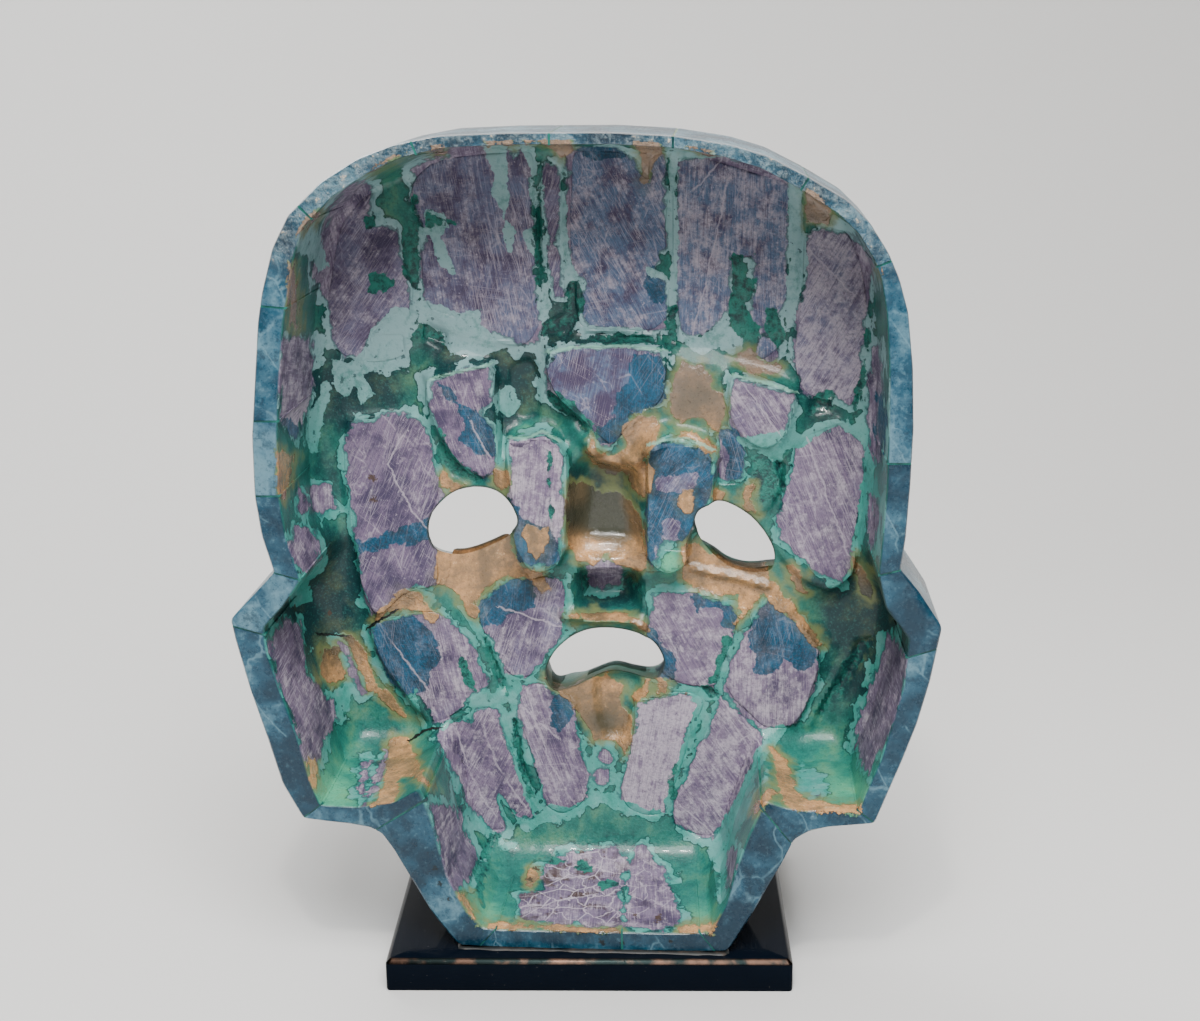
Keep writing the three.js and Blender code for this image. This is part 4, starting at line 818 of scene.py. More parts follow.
def resin_depth(x, z, plates, sizes):
    """Depth of the resin's hollow side on a grid. Between the plates it is the mean of their levels,
    weighted by nearness and towards the deeper ones; it climbs a quarter round at the walls, and
    is smoothed. On a plate it is a thin film, and under the back where the stone is bare. It dips
    into the hollows and the dark seams, rises at the ridges, and stays in front of the buried
    plates."""
    points = np.column_stack([x.ravel(), z.ravel()])
    weights, total, cover, top = np.zeros((4, len(points)))
    reach, favour = 2.2, 3
    beyond_all = 99.0
    deepest = np.full(len(points), beyond_all)
    for plate in plates:
        inside = inside_distance(points, plate["corners"])
        level = plate["level"] or plate["depth"] + 0.3
        weight = np.exp(np.minimum(inside, 0) / reach + (level - BACKS) / favour)
        weights += weight
        total += weight * level
        if plate["level"]:
            deepest = np.where(inside > -1, np.minimum(deepest, plate["depth"] - 0.8), deepest)
            continue
        over = ramp(inside, -1.2, 0.3)
        top = np.where(over > cover, plate["depth"], top)
        cover = np.maximum(cover, over)
    depth = total / weights
    wall = inside_distance(points, INNER_OUTLINE)
    radius = sizes.fillet * (0.35 + 0.65 * ramp(150 - points[:, 1], 0, 60))
    near = np.clip(radius - wall, 0, radius)
    depth -= radius - np.sqrt(radius ** 2 - near ** 2) + 5 * np.maximum(-wall, 0)
    depth = smoothed(depth.reshape(x.shape), 2).ravel()
    place = np.column_stack([points[:, 0], depth, points[:, 1]])
    sheet = to_sheet(place)
    dark = drawn_distance(sheet, DARK_GREEN, inside_distance)
    depth += sizes.seam_sink * ramp(dark, -0.7, 0.7) * (1 - cover)
    bare = ramp(drawn_distance(sheet, BARE_STONE, inside_distance), -0.9, 0.1)
    depth += cover * (top + sizes.resin_recess * bare - sizes.film * (1 - bare) - depth)
    for hollow in HOLLOWS:
        low, high = min(z for _, z in hollow["outline"]), max(z for _, z in hollow["outline"])
        share = np.clip((points[:, 1] - low) / (high - low), 0, 1)
        below = hollow["below"][1] + (hollow["below"][0] - hollow["below"][1]) * share
        inside = inside_distance(points, smooth_outline(hollow["outline"], 2))
        depth += below * (1 - (1 - np.clip(inside / hollow["side"], 0, 1)) ** 2)
    for line, height, width in RIDGES:
        depth -= height * bell(line_distance(points, from_sheet(line, BACKS)), width)
    depth = np.minimum(depth, deepest)
    uneven = 0.25 * ripple(*points.T, 13, 3) + 0.1 * ripple(*points.T, 4, 4)
    return depth - uneven * (1 - 0.8 * cover)


# Meshes

def new_mesh(name, points, faces):
    """A mesh object from local points and a list of face arrays."""
    mesh = bpy.data.meshes.new(name)
    corners = np.concatenate([group.ravel() for group in faces]).astype(np.int32)
    sizes = np.concatenate([np.full(len(group), group.shape[1]) for group in faces])
    mesh.vertices.add(len(points))
    mesh.vertices.foreach_set("co", to_world(points).astype(np.float32).ravel())
    mesh.loops.add(len(corners))
    mesh.loops.foreach_set("vertex_index", corners)
    mesh.polygons.add(len(sizes))
    mesh.polygons.foreach_set("loop_start", (np.cumsum(sizes) - sizes).astype(np.int32))
    mesh.update(calc_edges=True)
    mesh.validate()
    made = bpy.data.objects.new(name, mesh)
    bpy.context.scene.collection.objects.link(made)
    return made


def loft(name, rings, ends):
    """A closed surface: rings of equal length joined in order, with a fan onto each end point."""
    count, around = rings.shape[:2]
    index = np.arange(count * around).reshape(count, around)
    here, there = index[:-1], index[1:]
    quads = np.stack([here, np.roll(here, -1, axis=1), np.roll(there, -1, axis=1), there], axis=-1)
    first, last = count * around, count * around + 1
    fans = [np.stack([np.full(around, first), np.roll(index[0], -1), index[0]], axis=-1),
            np.stack([np.full(around, last), index[-1], np.roll(index[-1], -1)], axis=-1)]
    points = np.vstack([rings.reshape(-1, 3), np.asarray(ends, float)])
    return new_mesh(name, points, [quads.reshape(-1, 4), *fans])


def turned_outwards(made):
    """Turns every face outwards where the mesh's signed volume is negative."""
    a, b, c = vertices_of(made)[triangle_corners(made.data)].transpose(1, 0, 2)
    if (a * np.cross(b, c)).sum() < 0:
        made.data.flip_normals()
    return made


def vertices_of(made):
    """A mesh's points in world metres."""
    points = np.empty(len(made.data.vertices) * 3, np.float32)
    made.data.vertices.foreach_get("co", points)
    return points.reshape(-1, 3).astype(float)


def set_attribute(made, name, values):
    """Stores one number for each vertex."""
    layer = made.data.attributes.new(name, "FLOAT", "POINT")
    layer.data.foreach_set("value", np.asarray(values, np.float32))


def cut(made, cutter, operation):
    """Joins, cuts or keeps the common part of two closed meshes, and deletes the second."""
    modifier = made.modifiers.new(operation.lower(), "BOOLEAN")
    modifier.object = cutter
    modifier.operation = operation
    modifier.solver = "MANIFOLD"
    bpy.context.view_layer.update()
    evaluated = made.evaluated_get(bpy.context.evaluated_depsgraph_get())
    mesh = bpy.data.meshes.new_from_object(evaluated)
    made.modifiers.clear()
    old, made.data = made.data, mesh
    mesh.name = made.name
    bpy.data.meshes.remove(old)
    bpy.data.objects.remove(cutter)
    if not mesh.polygons:
        raise RuntimeError(f"{made.name} is empty after {operation.lower()}")


def joined(name, parts):
    """One object of several separate closed meshes."""
    points, faces, start = [], [], 0
    for part in parts:
        points.append(to_local(vertices_of(part)))
        faces.append(triangle_corners(part.data) + start)
        start += len(points[-1])
    return new_mesh(name, np.vstack(points), [np.vstack(faces)])


SHARP_ANGLE = radians(42)


def finished(made, material, slot, *nodes):
    """Gives a piece its smooth shading between sharp edges, its material and body, and hides the
    nodes that it replaces. The slot is not used."""
    made.data.shade_smooth()
    made.data.set_sharp_from_angle(angle=SHARP_ANGLE)
    made.data.materials.clear()
    made.data.materials.append(material)
    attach(made, "root")
    if nodes:
        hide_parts(*nodes)


def side_of_lines(points, lines):
    """The distance to the nearest of several lines, above 0 on its one side and below 0 on the other,
    so that it passes through 0 on the line between two vertices too."""
    best = np.full(len(points), FAR)
    rows = np.arange(len(points))
    for line in lines:
        start = np.asarray(line[:-1], float)
        step = np.asarray(line[1:], float) - start
        offset = points[:, None] - start
        share = np.clip((offset * step).sum(-1) / (step ** 2).sum(-1), 0, 1)
        gap = np.linalg.norm(offset - share[..., None] * step, axis=-1)
        nearest = gap.argmin(axis=1)
        side = np.sign(crossing(step[nearest], offset[rows, nearest]))
        gap = gap[rows, nearest]
        best = np.where(gap < np.abs(best), gap * side, best)
    return best


def paint(made, hollow, tone, tint=PLAIN_TINT):
    """Stores numbers for each vertex: how far inside the drawn areas it lies, how far to which side
    of the drawn lines, how much painted shade or painted light it gets, how near the crown's edge, the
    rim's inner edge, an opening or the broken chin stone it is, how much it belongs to the hollow
    side, and the piece's own tone and tint."""
    local = to_local(vertices_of(made))
    sheet = to_sheet(local)
    blue = drawn_distance(sheet, BLUE_STONE, inside_distance)
    mauve = drawn_distance(sheet, MAUVE_ON_BLUE, inside_distance)
    # the pools: painted shade where their sum is below 0 and painted light where it is above
    painted_shade_and_light = sum(strength * bell(np.hypot(*(sheet - (x, z)).T), reach) for x, z, reach, strength in PAINTED_SHADE_AND_LIGHT)
    spot = np.max([radius - np.hypot(*(sheet - (x, z)).T) for x, z, radius in SPOTS], axis=0)
    drawn_lines = {"line": PALE_LINES, "lit": LIT_EDGES, "crack": CRACKS}
    lines = {name: side_of_lines(sheet, drawn) for name, drawn in drawn_lines.items()}
    broken_x, broken_z, broken_reach = 5, 20, 19
    layers = {
        "bare": drawn_distance(sheet, BARE_STONE, inside_distance),
        "blue": np.minimum(blue, -mauve),
        "tan": drawn_distance(sheet, TAN_RESIN, inside_distance),
        "mint": drawn_distance(sheet, MINT_FILM, inside_distance),
        "dark": drawn_distance(sheet, DARK_GREEN, inside_distance),
        **lines,
        "near_line": np.min([np.abs(side) for side in lines.values()], axis=0),
        "spot": np.maximum(spot, -FAR),
        "painted_shade_and_light": np.clip(painted_shade_and_light, -1, 1),
        "frost_and_painted_glints": ramp(sheet[:, 1], 192, 222) * ramp(7 - local[:, 1], 0, 7),
        "rim": (ramp(inside_distance(local[:, [0, 2]], RIM_EDGE), -1.9, -0.3)
                * ramp(2.5 - local[:, 1], 0, 1.5)),
        "hole": -np.min([line_distance(local[:, [0, 2]], outline, True) for outline in EYES_AND_MOUTH],
                        axis=0),
        "broken": bell(np.hypot(sheet[:, 0] - broken_x, 1.4 * (sheet[:, 1] - broken_z)), broken_reach),
        "hollow": hollow,
        "tone": np.full(len(sheet), tone),
        "blueness": np.full(len(sheet), tint[0]),
        "paleness": np.full(len(sheet), tint[1]),
    }
    for name, values in layers.items():
        set_attribute(made, name, values)


# Shader maths

# A millimetre in metres, the depth of the grain's lumps, how far a tone moves the patterns, the
# size, detail and roughness of the mottle, and the coat and refraction of a wet surface

MILLIMETRE = 0.001
GRAIN_DEPTH = 9.0
TONE_SHIFT = (310.0, 170.0, 230.0)
MOTTLE = (2.4, 4, 0.74)
WET = {"Coat Roughness": 0.08, "IOR": 1.42}


class Wire:
    """A socket in a material, or a number. Python's operators on it add Math nodes."""

    def __init__(self, look, socket):
        self.look = look
        self.socket = socket

    def __add__(self, other):
        return self.look.math("ADD", self, other)

    __radd__ = __add__

    def __sub__(self, other):
        return self.look.math("SUBTRACT", self, other)

    def __rsub__(self, other):
        return self.look.math("SUBTRACT", other, self)

    def __mul__(self, other):
        return self.look.math("MULTIPLY", self, other)

    __rmul__ = __mul__


class Look:
    """The node tree of one material."""

    def __init__(self, name):
        self.material = bpy.data.materials.new(name)
        self.material.use_nodes = True
        self.nodes = self.material.node_tree.nodes
        self.links = self.material.node_tree.links
        self.nodes.clear()

    def node(self, kind, settings=None, values=None, output=0):
        """A node of any type with its settings, then the values or links of its sockets."""
        made = self.nodes.new(kind)
        for key, value in (settings or {}).items():
            setattr(made, key, value)
        for key, value in (values or {}).items():
            if isinstance(value, Wire):
                self.links.new(value.socket, made.inputs[key])
            else:
                made.inputs[key].default_value = value
        return Wire(self, made.outputs[output]) if made.outputs else None

    def math(self, operation, first, second=0.0):
        """One Math node on two numbers."""
        return self.node("ShaderNodeMath", {"operation": operation}, {0: first, 1: second})

    def attribute(self, name):
        """The number stored for each vertex under that name."""
        return self.node("ShaderNodeAttribute", {"attribute_name": name}, output=2)

    def smooth_step(self, value, low, high):
        """0 below low and 1 above high, smoothly."""
        return self.node("ShaderNodeMapRange", {"interpolation_type": "SMOOTHSTEP"},
                         {0: value, 1: low, 2: high, 3: 0.0, 4: 1.0})

    def mix(self, share, first, second):
        """A colour between two, by share. Each is a wire or a name in COLOURS."""
        first, second = (item if isinstance(item, Wire) else (*COLOURS[item], 1)
                         for item in (first, second))
        return self.node("ShaderNodeMix", {"data_type": "RGBA"}, {0: share, 6: first, 7: second},
                         output=2)

    def wash(self, base, name, strength, value, low, high):
        """The base with a named colour over it, which comes in by strength from low to high."""
        return self.mix(self.smooth_step(value, low, high) * strength, base, name)

    def noise(self, place, size, detail=4.0, roughness=0.55):
        """Cloudy noise from 0 to 1 whose lumps have that size in millimetres."""
        return self.node("ShaderNodeTexNoise", {},
                         {"Vector": place, "Scale": 1 / size, "Detail": detail, "Roughness": roughness})

    def grain(self, place, angle, size, length, detail=2.0):
        """Noise whose lumps are long and narrow, and upright when the angle is 0."""
        turn = self.node("ShaderNodeCombineXYZ", {}, {1: angle})
        run = self.node("ShaderNodeMapping", {"vector_type": "TEXTURE"},
                        {"Vector": place, "Rotation": turn, "Scale": (size, GRAIN_DEPTH, length)})
        return self.noise(run, 1.0, detail)

    def net(self, place, angle, size, wander):
        """How far a place is from the edges of stretched cells whose lines wander, in cell sizes."""
        shake = self.noise(place, size * 0.6, 2, 0.5)
        moved = self.node("ShaderNodeVectorMath", {"operation": "MULTIPLY_ADD"},
                          {0: shake, 1: (wander,) * 3, 2: place})
        run = self.node("ShaderNodeMapping", {"vector_type": "TEXTURE"},
                        {"Vector": moved, "Rotation": (0.0, angle, 0.0), "Scale": (size, size, 2.0 * size)})
        return self.node("ShaderNodeTexVoronoi", {"feature": "DISTANCE_TO_EDGE"},
                         {"Vector": run, "Scale": 1.0})

    def finish(self, height=None, **values):
        """The material, from the values of its shader's sockets and the height in millimetres."""
        if height is not None:
            values["Normal"] = self.node("ShaderNodeBump", {}, {"Height": height, "Distance": MILLIMETRE})
        surface = self.node("ShaderNodeBsdfPrincipled", {}, values)
        self.node("ShaderNodeOutputMaterial", {}, {"Surface": surface})
        return self.material


def place_in_mm(look, tone=None):
    """Object coordinates in millimetres, shifted by the piece's tone so that no pattern carries on
    from one stone to the next."""
    coordinates = look.node("ShaderNodeTexCoord", output=3)
    placed = look.node("ShaderNodeVectorMath", {"operation": "SCALE"},
                       {0: coordinates, "Scale": 1 / MILLIMETRE})
    if tone is None:
        return placed
    shift = look.node("ShaderNodeCombineXYZ", {}, {axis: tone * far for axis, far in enumerate(TONE_SHIFT)})
    return look.node("ShaderNodeVectorMath", {"operation": "ADD"}, {0: placed, 1: shift})


def polished_stone(look, place, tone, paleness):
    """Blue-grey stone: deep and mid blue clouds, crumbly pale patches, and a broken net of thin pale
    veins. Returns colour and roughness."""
    clouds = look.noise(place, 15, 4, 0.6)
    crumbs = look.noise(place, 4.0, 5, 0.74)
    fine = look.noise(place, 1.0, 3, 0.65)
    vein = 1.0 - look.smooth_step(look.net(place, 0.5, 13, 7.0), 0.006, 0.028)
    cloud = clouds + tone * 0.10 - 0.05 + paleness * 0.16
    base = look.mix(look.smooth_step(cloud, 0.40, 0.66), "stone_deep", "stone_blue")
    base = look.wash(base, "stone_pale", 0.7, cloud, 0.56, 0.80)
    base = look.wash(base, "stone_pale", 0.75, crumbs * 0.7 + cloud * 0.5, 0.66, 0.84)
    base = look.wash(base, "stone_white", 0.8, crumbs + cloud * 0.3, 0.86, 0.98)
    base = look.wash(base, "stone_deep", 0.6, crumbs, 0.46, 0.34)
    base = look.mix(vein * look.smooth_step(clouds, 0.44, 0.56) * 0.6, base, "stone_pale")
    base = look.wash(base, "stone_pale", 0.3, fine, 0.52, 0.8)
    base = look.wash(base, "stone_deep", 0.5, fine, 0.48, 0.2)
    return base, 0.16 + crumbs * 0.25


def ground_stone(look, place, blue):
    """The stones' ground backs: plum with dark blotches and crumbly pale haze, blue where the stone
    is thin, with faint grinding lines, sparse long scratches and a broken net of pale veins, which
    is dense on the broken chin stone. Returns colour and roughness."""
    blueness = look.attribute("blueness")
    paleness = look.attribute("paleness")
    broken = look.attribute("broken")
    blotches = look.noise(place, 8, 5, 0.64)
    haze = look.noise(place, 4.6, 5, 0.72)
    speckles = look.noise(place, 0.9, 3, 0.7)
    direction = look.attribute("tone") * 1.3 - 0.65
    rubbed = look.grain(place, direction, 0.30, 9.0, 3.0)
    haze = haze * 0.63 + look.grain(place, direction, 1.2, 9.0, 3.0) * 0.30 + 0.035
    gate = look.smooth_step(look.noise(place, 9, 3), 0.42, 0.60)
    scratches = None
    for angle, size, cut_off in ((0.2, 0.20, 0.66), (-0.35, 0.20, 0.68), (1.3, 0.24, 0.72)):
        lines = look.smooth_step(look.grain(place, direction + angle, size, 24.0, 0.0), cut_off,
                                 cut_off + 0.07)
        scratches = lines if scratches is None else look.math("MAXIMUM", scratches, lines)
    scratches = scratches * (0.25 + gate * 0.75)
    veins = 1.0 - look.smooth_step(look.net(place, 0.3, 6.5, 4.0), 0.008, 0.040)
    veins = veins * look.smooth_step(blotches + broken * 0.4, 0.50, 0.60)
    tint = look.mix(look.smooth_step(blotches * 0.6 + blueness * 0.7, 0.4, 0.9), "mauve", "mauve_blue")
    base = look.mix(look.smooth_step(blotches + paleness * 0.10, 0.36, 0.60), "mauve_dark", tint)
    thin = look.mix(look.smooth_step(blotches * 0.6 + speckles * 0.4, 0.36, 0.68),
                    "stone_deep", "thin_blue")
    base = look.mix(blue, base, thin)
    shown = 1.0 - blue * 0.85
    base = look.mix(look.smooth_step(haze + paleness * 0.10, 0.50, 0.68) * 0.72 * shown, base,
                    "mauve_pale")
    base = look.mix(look.smooth_step(speckles + haze * 0.5 + paleness * 0.05, 0.84, 1.0) * 0.7 * shown,
                    base, "mauve_pale")
    base = look.mix(look.smooth_step(speckles, 0.50, 0.30) * 0.55 * shown, base, "mauve_dark")
    base = look.mix(look.smooth_step(rubbed, 0.50, 0.68) * (0.15 + gate * 0.3) * shown, base,
                    "mauve_pale")
    base = look.mix(look.smooth_step(rubbed, 0.48, 0.32) * 0.45 * shown, base, "mauve_dark")
    base = look.mix(look.smooth_step(blotches, 0.48, 0.41) * broken * 0.85, base, "earth")
    base = look.mix(scratches * 0.34 * (1.0 - blue * 0.5), base, "mauve_pale")
    base = look.mix(veins * (0.35 + broken * 0.6) * (1.0 - blue * 0.6), base, "mauve_pale")
    return base, 0.42 + speckles * 0.3


def hollow_side(look, place, mottle):
    """What covers the hollow side: green resin, mint film round and on the stones, their bare ground
    backs, dark green and tan resin, pale lines and cracks, each inside its drawn area with an edge
    moved in and out by noise. Over these lie painted shade and painted light in pools, painted
    highlights along lit plate edges, and painted shade along the film's edge and near the openings.
    Returns colour, roughness, height and how wet it looks."""
    wide = look.noise(place, 5.5, 2, 0.5) - 0.5
    fine = look.noise(place, 1.5, 3, 0.6) - 0.5
    shade = look.noise(place, 10, 3, 0.55)
    grain = look.noise(place, 0.7, 2, 0.65)
    edge = wide * 5.5 + fine * 2.3
    height_up = look.node("ShaderNodeSeparateXYZ", {}, {0: place}, output=2)
    high = look.smooth_step(height_up, 140.0, 190.0)
    bare_distance = look.attribute("bare") + edge
    bare = look.smooth_step(bare_distance, -0.1, 0.1)
    film_patch = look.smooth_step(look.attribute("mint") + edge * 0.8, -0.12, 0.12)
    border = 1.0 - look.smooth_step(look.math("ABSOLUTE", bare_distance + 0.15), 0.1, 0.55)
    border = border * (1.0 - film_patch)
    reach = look.smooth_step(shade, 0.36, 0.62) * 3.2
    ring = look.smooth_step(bare_distance + reach, -0.1, 0.15)
    mint = look.math("MAXIMUM", film_patch, ring)
    # painted shade: a dark green line just outside the film's edge, round the stones
    film_edge_shade = look.smooth_step(bare_distance + reach, -0.9, -0.1) * (1.0 - mint)
    dark = look.smooth_step(look.attribute("dark") + edge * 0.9, -0.15, 0.25)
    tan_distance = look.attribute("tan") + edge * 0.8
    tan_area = look.smooth_step(tan_distance, -0.3, 0.25)
    olive = look.smooth_step(tan_distance + wide * 4.0, -2.8, 0.0)
    blue = look.smooth_step(look.attribute("blue") + edge, -0.2, 0.2)
    near_line = look.smooth_step(look.attribute("near_line"), 1.6, 1.1)
    line, lit, crack = (
        near_line * look.smooth_step(look.math("ABSOLUTE", look.attribute(name) + wander), width, core)
        for name, wander, width, core in (("line", wide * 2.0 + fine * 1.2, 0.36, 0.12),
                                          ("lit", fine * 2.0, 0.7, 0.1),
                                          ("crack", fine * 1.5, 0.45, 0.2)))
    spot = look.smooth_step(look.attribute("spot") + fine * 4.0, -0.2, 0.3)
    painted_shade_and_light = look.attribute("painted_shade_and_light")
    pits = look.smooth_step(look.noise(place, 2.1, 2, 0.5), 0.66, 0.70)

    # painted shade and painted light from the pools darken or lighten the green, the film and the tan
    light = shade * 0.6 + mottle * 0.25 + painted_shade_and_light * 0.42 + 0.1
    green = look.mix(look.smooth_step(light, 0.26, 0.62), "green_dark", "green")
    green = look.mix(look.smooth_step(light, 0.52, 0.98), green, "green_light")
    green = look.wash(green, "olive", 0.4, shade * 0.7 + mottle * 0.3, 0.46, 0.72)
    green = look.wash(green, "mint", 0.25, grain, 0.5, 0.75)
    green = look.wash(green, "green_dark", 0.4, grain, 0.46, 0.28)
    film = look.mix(look.math("MAXIMUM", high, look.smooth_step(shade, 0.48, 0.66) * 0.3),
                    "mint", "mint_grey")
    film = look.wash(film, "mint_light", 0.3, mottle + painted_shade_and_light * 0.2, 0.55, 0.85)
    film = look.wash(film, "green", 0.6, mottle * 0.7 + shade * 0.3, 0.54, 0.34)
    film = look.mix(pits * 0.7, film, "green_dark")
    warm = look.mix(look.smooth_step(shade * 0.6 + mottle * 0.5 + painted_shade_and_light * 0.3, 0.42, 0.74),
                    "tan_deep", "tan")
    warm = look.wash(warm, "tan_grey", 0.7, height_up, 150.0, 178.0)
    warm = look.wash(warm, "earth", 0.5, grain, 0.58, 0.72)
    warm = look.wash(warm, "cream", 0.45, mottle + painted_shade_and_light * 0.15, 0.60, 0.78)
    warm = look.wash(warm, "shadow", 0.9, painted_shade_and_light + shade * 0.5 - 0.25, 0.05, -0.8)

    stone, stone_roughness = ground_stone(look, place, blue)
    # painted shade along the film's outer edge
    green = look.mix(film_edge_shade * 0.75, green, "green_dark")
    colour = look.mix(mint, green, film)
    colour = look.mix(bare * (1.0 - film_patch), colour, stone)
    colour = look.mix(border * 0.6, colour, "stone_deep")
    colour = look.mix(line * bare * look.smooth_step(shade, 0.32, 0.5) * 0.55, colour, "mauve_pale")
    rough_green = look.mix(look.smooth_step(mottle + painted_shade_and_light * 0.2, 0.32, 0.60), "green_dark", "green")
    colour = look.mix(dark, colour, rough_green)
    colour = look.mix(olive * (1.0 - bare * 0.85) * 0.75, colour, "olive")
    colour = look.mix(tan_area, colour, warm)
    # painted highlights along the lit top edges of the plates
    colour = look.mix(lit * 0.7, colour, "mint_light")
    colour = look.mix(spot * 0.9, colour, "earth")
    colour = look.mix(crack, colour, "black")
    # painted shade on the sides of the openings and round their back edge
    hole = look.smooth_step(look.attribute("hole"), -0.9, -0.2)
    colour = look.mix(hole * 0.8, colour, "shadow")
    open_stone = bare * (1.0 - film_patch) * (1.0 - tan_area)
    roughness = (0.30 + mottle * 0.22 + mint * 0.08 - tan_area * 0.29 - painted_shade_and_light * 0.16
                 + open_stone * (stone_roughness - 0.4) + hole * 0.4)
    height = ((1.0 - open_stone) * 0.10 + mint * 0.16 + tan_area * (0.16 + wide * 0.5 + fine * 0.3)
              + grain * (0.06 + (tan_area + open_stone) * 0.12) + dark * (mottle * 0.6 - 0.3)
              + mottle * (0.26 + look.attribute("broken") * 0.3)
              - crack * 0.5 - spot * 0.1)
    return colour, roughness, height, (1.0 - open_stone) * (1.0 - hole) * (0.25 + tan_area * 0.1)


def stone_look(name):
    """Stone plates: polished in front and outside, ground and resin-smeared on the hollow side, with
    a pale pebbly crust along the crown's edge, whose white flecks are partly painted glints, and tan
    drops along the rim's inner edge."""
    look = Look(name)
    tone = look.attribute("tone")
    own_place = place_in_mm(look, tone)
    place = place_in_mm(look)
    front, front_roughness = polished_stone(look, own_place, tone, look.attribute("paleness"))
    mottle = look.noise(place, *MOTTLE)
    grains = mottle * 1.17 - 0.085
    frost_and_painted_glints = look.attribute("frost_and_painted_glints")
    # white flecks on the crown's edge: partly a pale crust, partly painted glints; the cream flecks below
    # are drops of set resin
    front = look.mix(look.smooth_step(grains, 0.40, 0.66) * frost_and_painted_glints * 0.4, front, "stone_white")
    front = look.mix(look.smooth_step(grains, 0.64, 0.70) * frost_and_painted_glints * 0.6, front, "cream")
    spots = look.smooth_step(look.attribute("spot") + grains * 7.0 - 3.5, -0.2, 0.3)
    front = look.mix(spots * 0.9, front, "black")
    back, back_roughness, back_height, wet = hollow_side(look, place, mottle)
    drops = look.smooth_step(look.attribute("tan") + grains * 6.0 - 3.0, -0.2, 0.3)
    drops = drops * look.smooth_step(look.attribute("rim") + grains * 1.4 - 0.7, 0.35, 0.5)
    hollow = look.math("MAXIMUM", look.attribute("hollow"), drops)
    return look.finish(**{
        "Base Color": look.mix(hollow, front, back),
        "Roughness": front_roughness - frost_and_painted_glints * 0.12 + hollow * (back_roughness - front_roughness),
        "height": frost_and_painted_glints * grains * 2.2 + hollow * back_height,
        "Coat Weight": hollow * wet + (1.0 - hollow) * frost_and_painted_glints * 0.8,
        **WET,
    })


def resin_look(name):
    """Cast resin: the hollow side's own colours, and plain dark green between the stones in front and
    on the rim."""
    look = Look(name)
    place = place_in_mm(look)
    hollow = look.attribute("hollow")
    shade = look.noise(place, 6, 4, 0.6)
    front = look.mix(look.smooth_step(shade, 0.35, 0.65), "green_dark", "green")
    back, back_roughness, back_height, wet = hollow_side(look, place, look.noise(place, *MOTTLE))
    return look.finish(**{
        "Base Color": look.mix(hollow, front, back),
        "Roughness": 0.3 + hollow * (back_roughness - 0.3),
        "height": hollow * back_height,
        "Coat Weight": hollow * wet,
        **WET,
    })


def slab_look(name):
    """Polished black stone: nearly black, with faint clouding, dust specks and hair scratches, and a
    bevel painted as a broken warm metallic line: a painted reflection of the warm room."""
    look = Look(name)
    place = place_in_mm(look)
    clouds = look.noise(place, 14, 5, 0.6)
    specks = look.smooth_step(look.noise(place, 0.8, 2, 0.5), 0.74, 0.78)
    hair = look.smooth_step(look.grain(place, 0.4, 0.4, 8.0), 0.62, 0.72)
    colour = look.mix(clouds * 0.5, "slab", "slab_cloud")
    colour = look.mix(specks * 0.3, colour, "dust")
    bevel = look.attribute("bevel")
    # painted reflection: a warm metallic line on the bevel stands in for the room mirrored in the black
    # stone
    mirrored = look.mix(look.smooth_step(look.noise(place, 7, 4), 0.42, 0.62), "black", "warm_reflection")
    return look.finish(**{
        "Base Color": look.mix(bevel, colour, mirrored),
        "Metallic": bevel,
        "Roughness": 0.05 + clouds * 0.05 + specks * 0.3 + hair * 0.04 + bevel * 0.15,
        "height": hair * -0.01,
        "IOR": 1.1,
    })


def glue_look(name):
    """Brown glue that has run and set: dark, dull, with paler threads."""
    look = Look(name)
    mottle = look.noise(place_in_mm(look), 2.0, 4, 0.6)
    return look.finish(**{
        "Base Color": look.mix(look.smooth_step(mottle, 0.45, 0.7), "black", "glue"),
        "Roughness": 0.5 + mottle * 0.1,
        "height": mottle * 0.15,
    })


# Settings

class MaskSizes(bpy.types.PropertyGroup):
    """Sizes of the mask's pieces, in millimetres."""
    wall_seam: bpy.props.FloatProperty(
        name="Wall seam", description="Width of the resin joint between two wall plates",
        default=0.6, min=0.3, max=2.0)
    plate_edge: bpy.props.FloatProperty(
        name="Plate edge", description="Width of the rounded edge of a face plate",
        default=0.7, min=0.2, max=2.0)
    resin_recess: bpy.props.FloatProperty(
        name="Resin recess", description="How far the resin lies below the bare backs",
        default=0.6, min=0.2, max=1.0)
    film: bpy.props.FloatProperty(
        name="Film", description="Thickness of the resin film on the plates' backs",
        default=0.32, min=0.2, max=1.0)
    seam_sink: bpy.props.FloatProperty(
        name="Seam sink", description="How far the dark seams sink below the resin beside them",
        default=1.6, min=0.0, max=3.0)
    front_recess: bpy.props.FloatProperty(
        name="Front recess", description="How far the resin lies below the plates' fronts",
        default=0.45, min=0.0, max=1.0)
    fillet: bpy.props.FloatProperty(
        name="Fillet", description="Radius of the resin where the walls meet the face",
        default=9.0, min=1.0, max=12.0)
    mesh_step: bpy.props.FloatProperty(
        name="Mesh step", description="Distance between the points of the resin's surface",
        default=1.0, min=0.6, max=3.0)


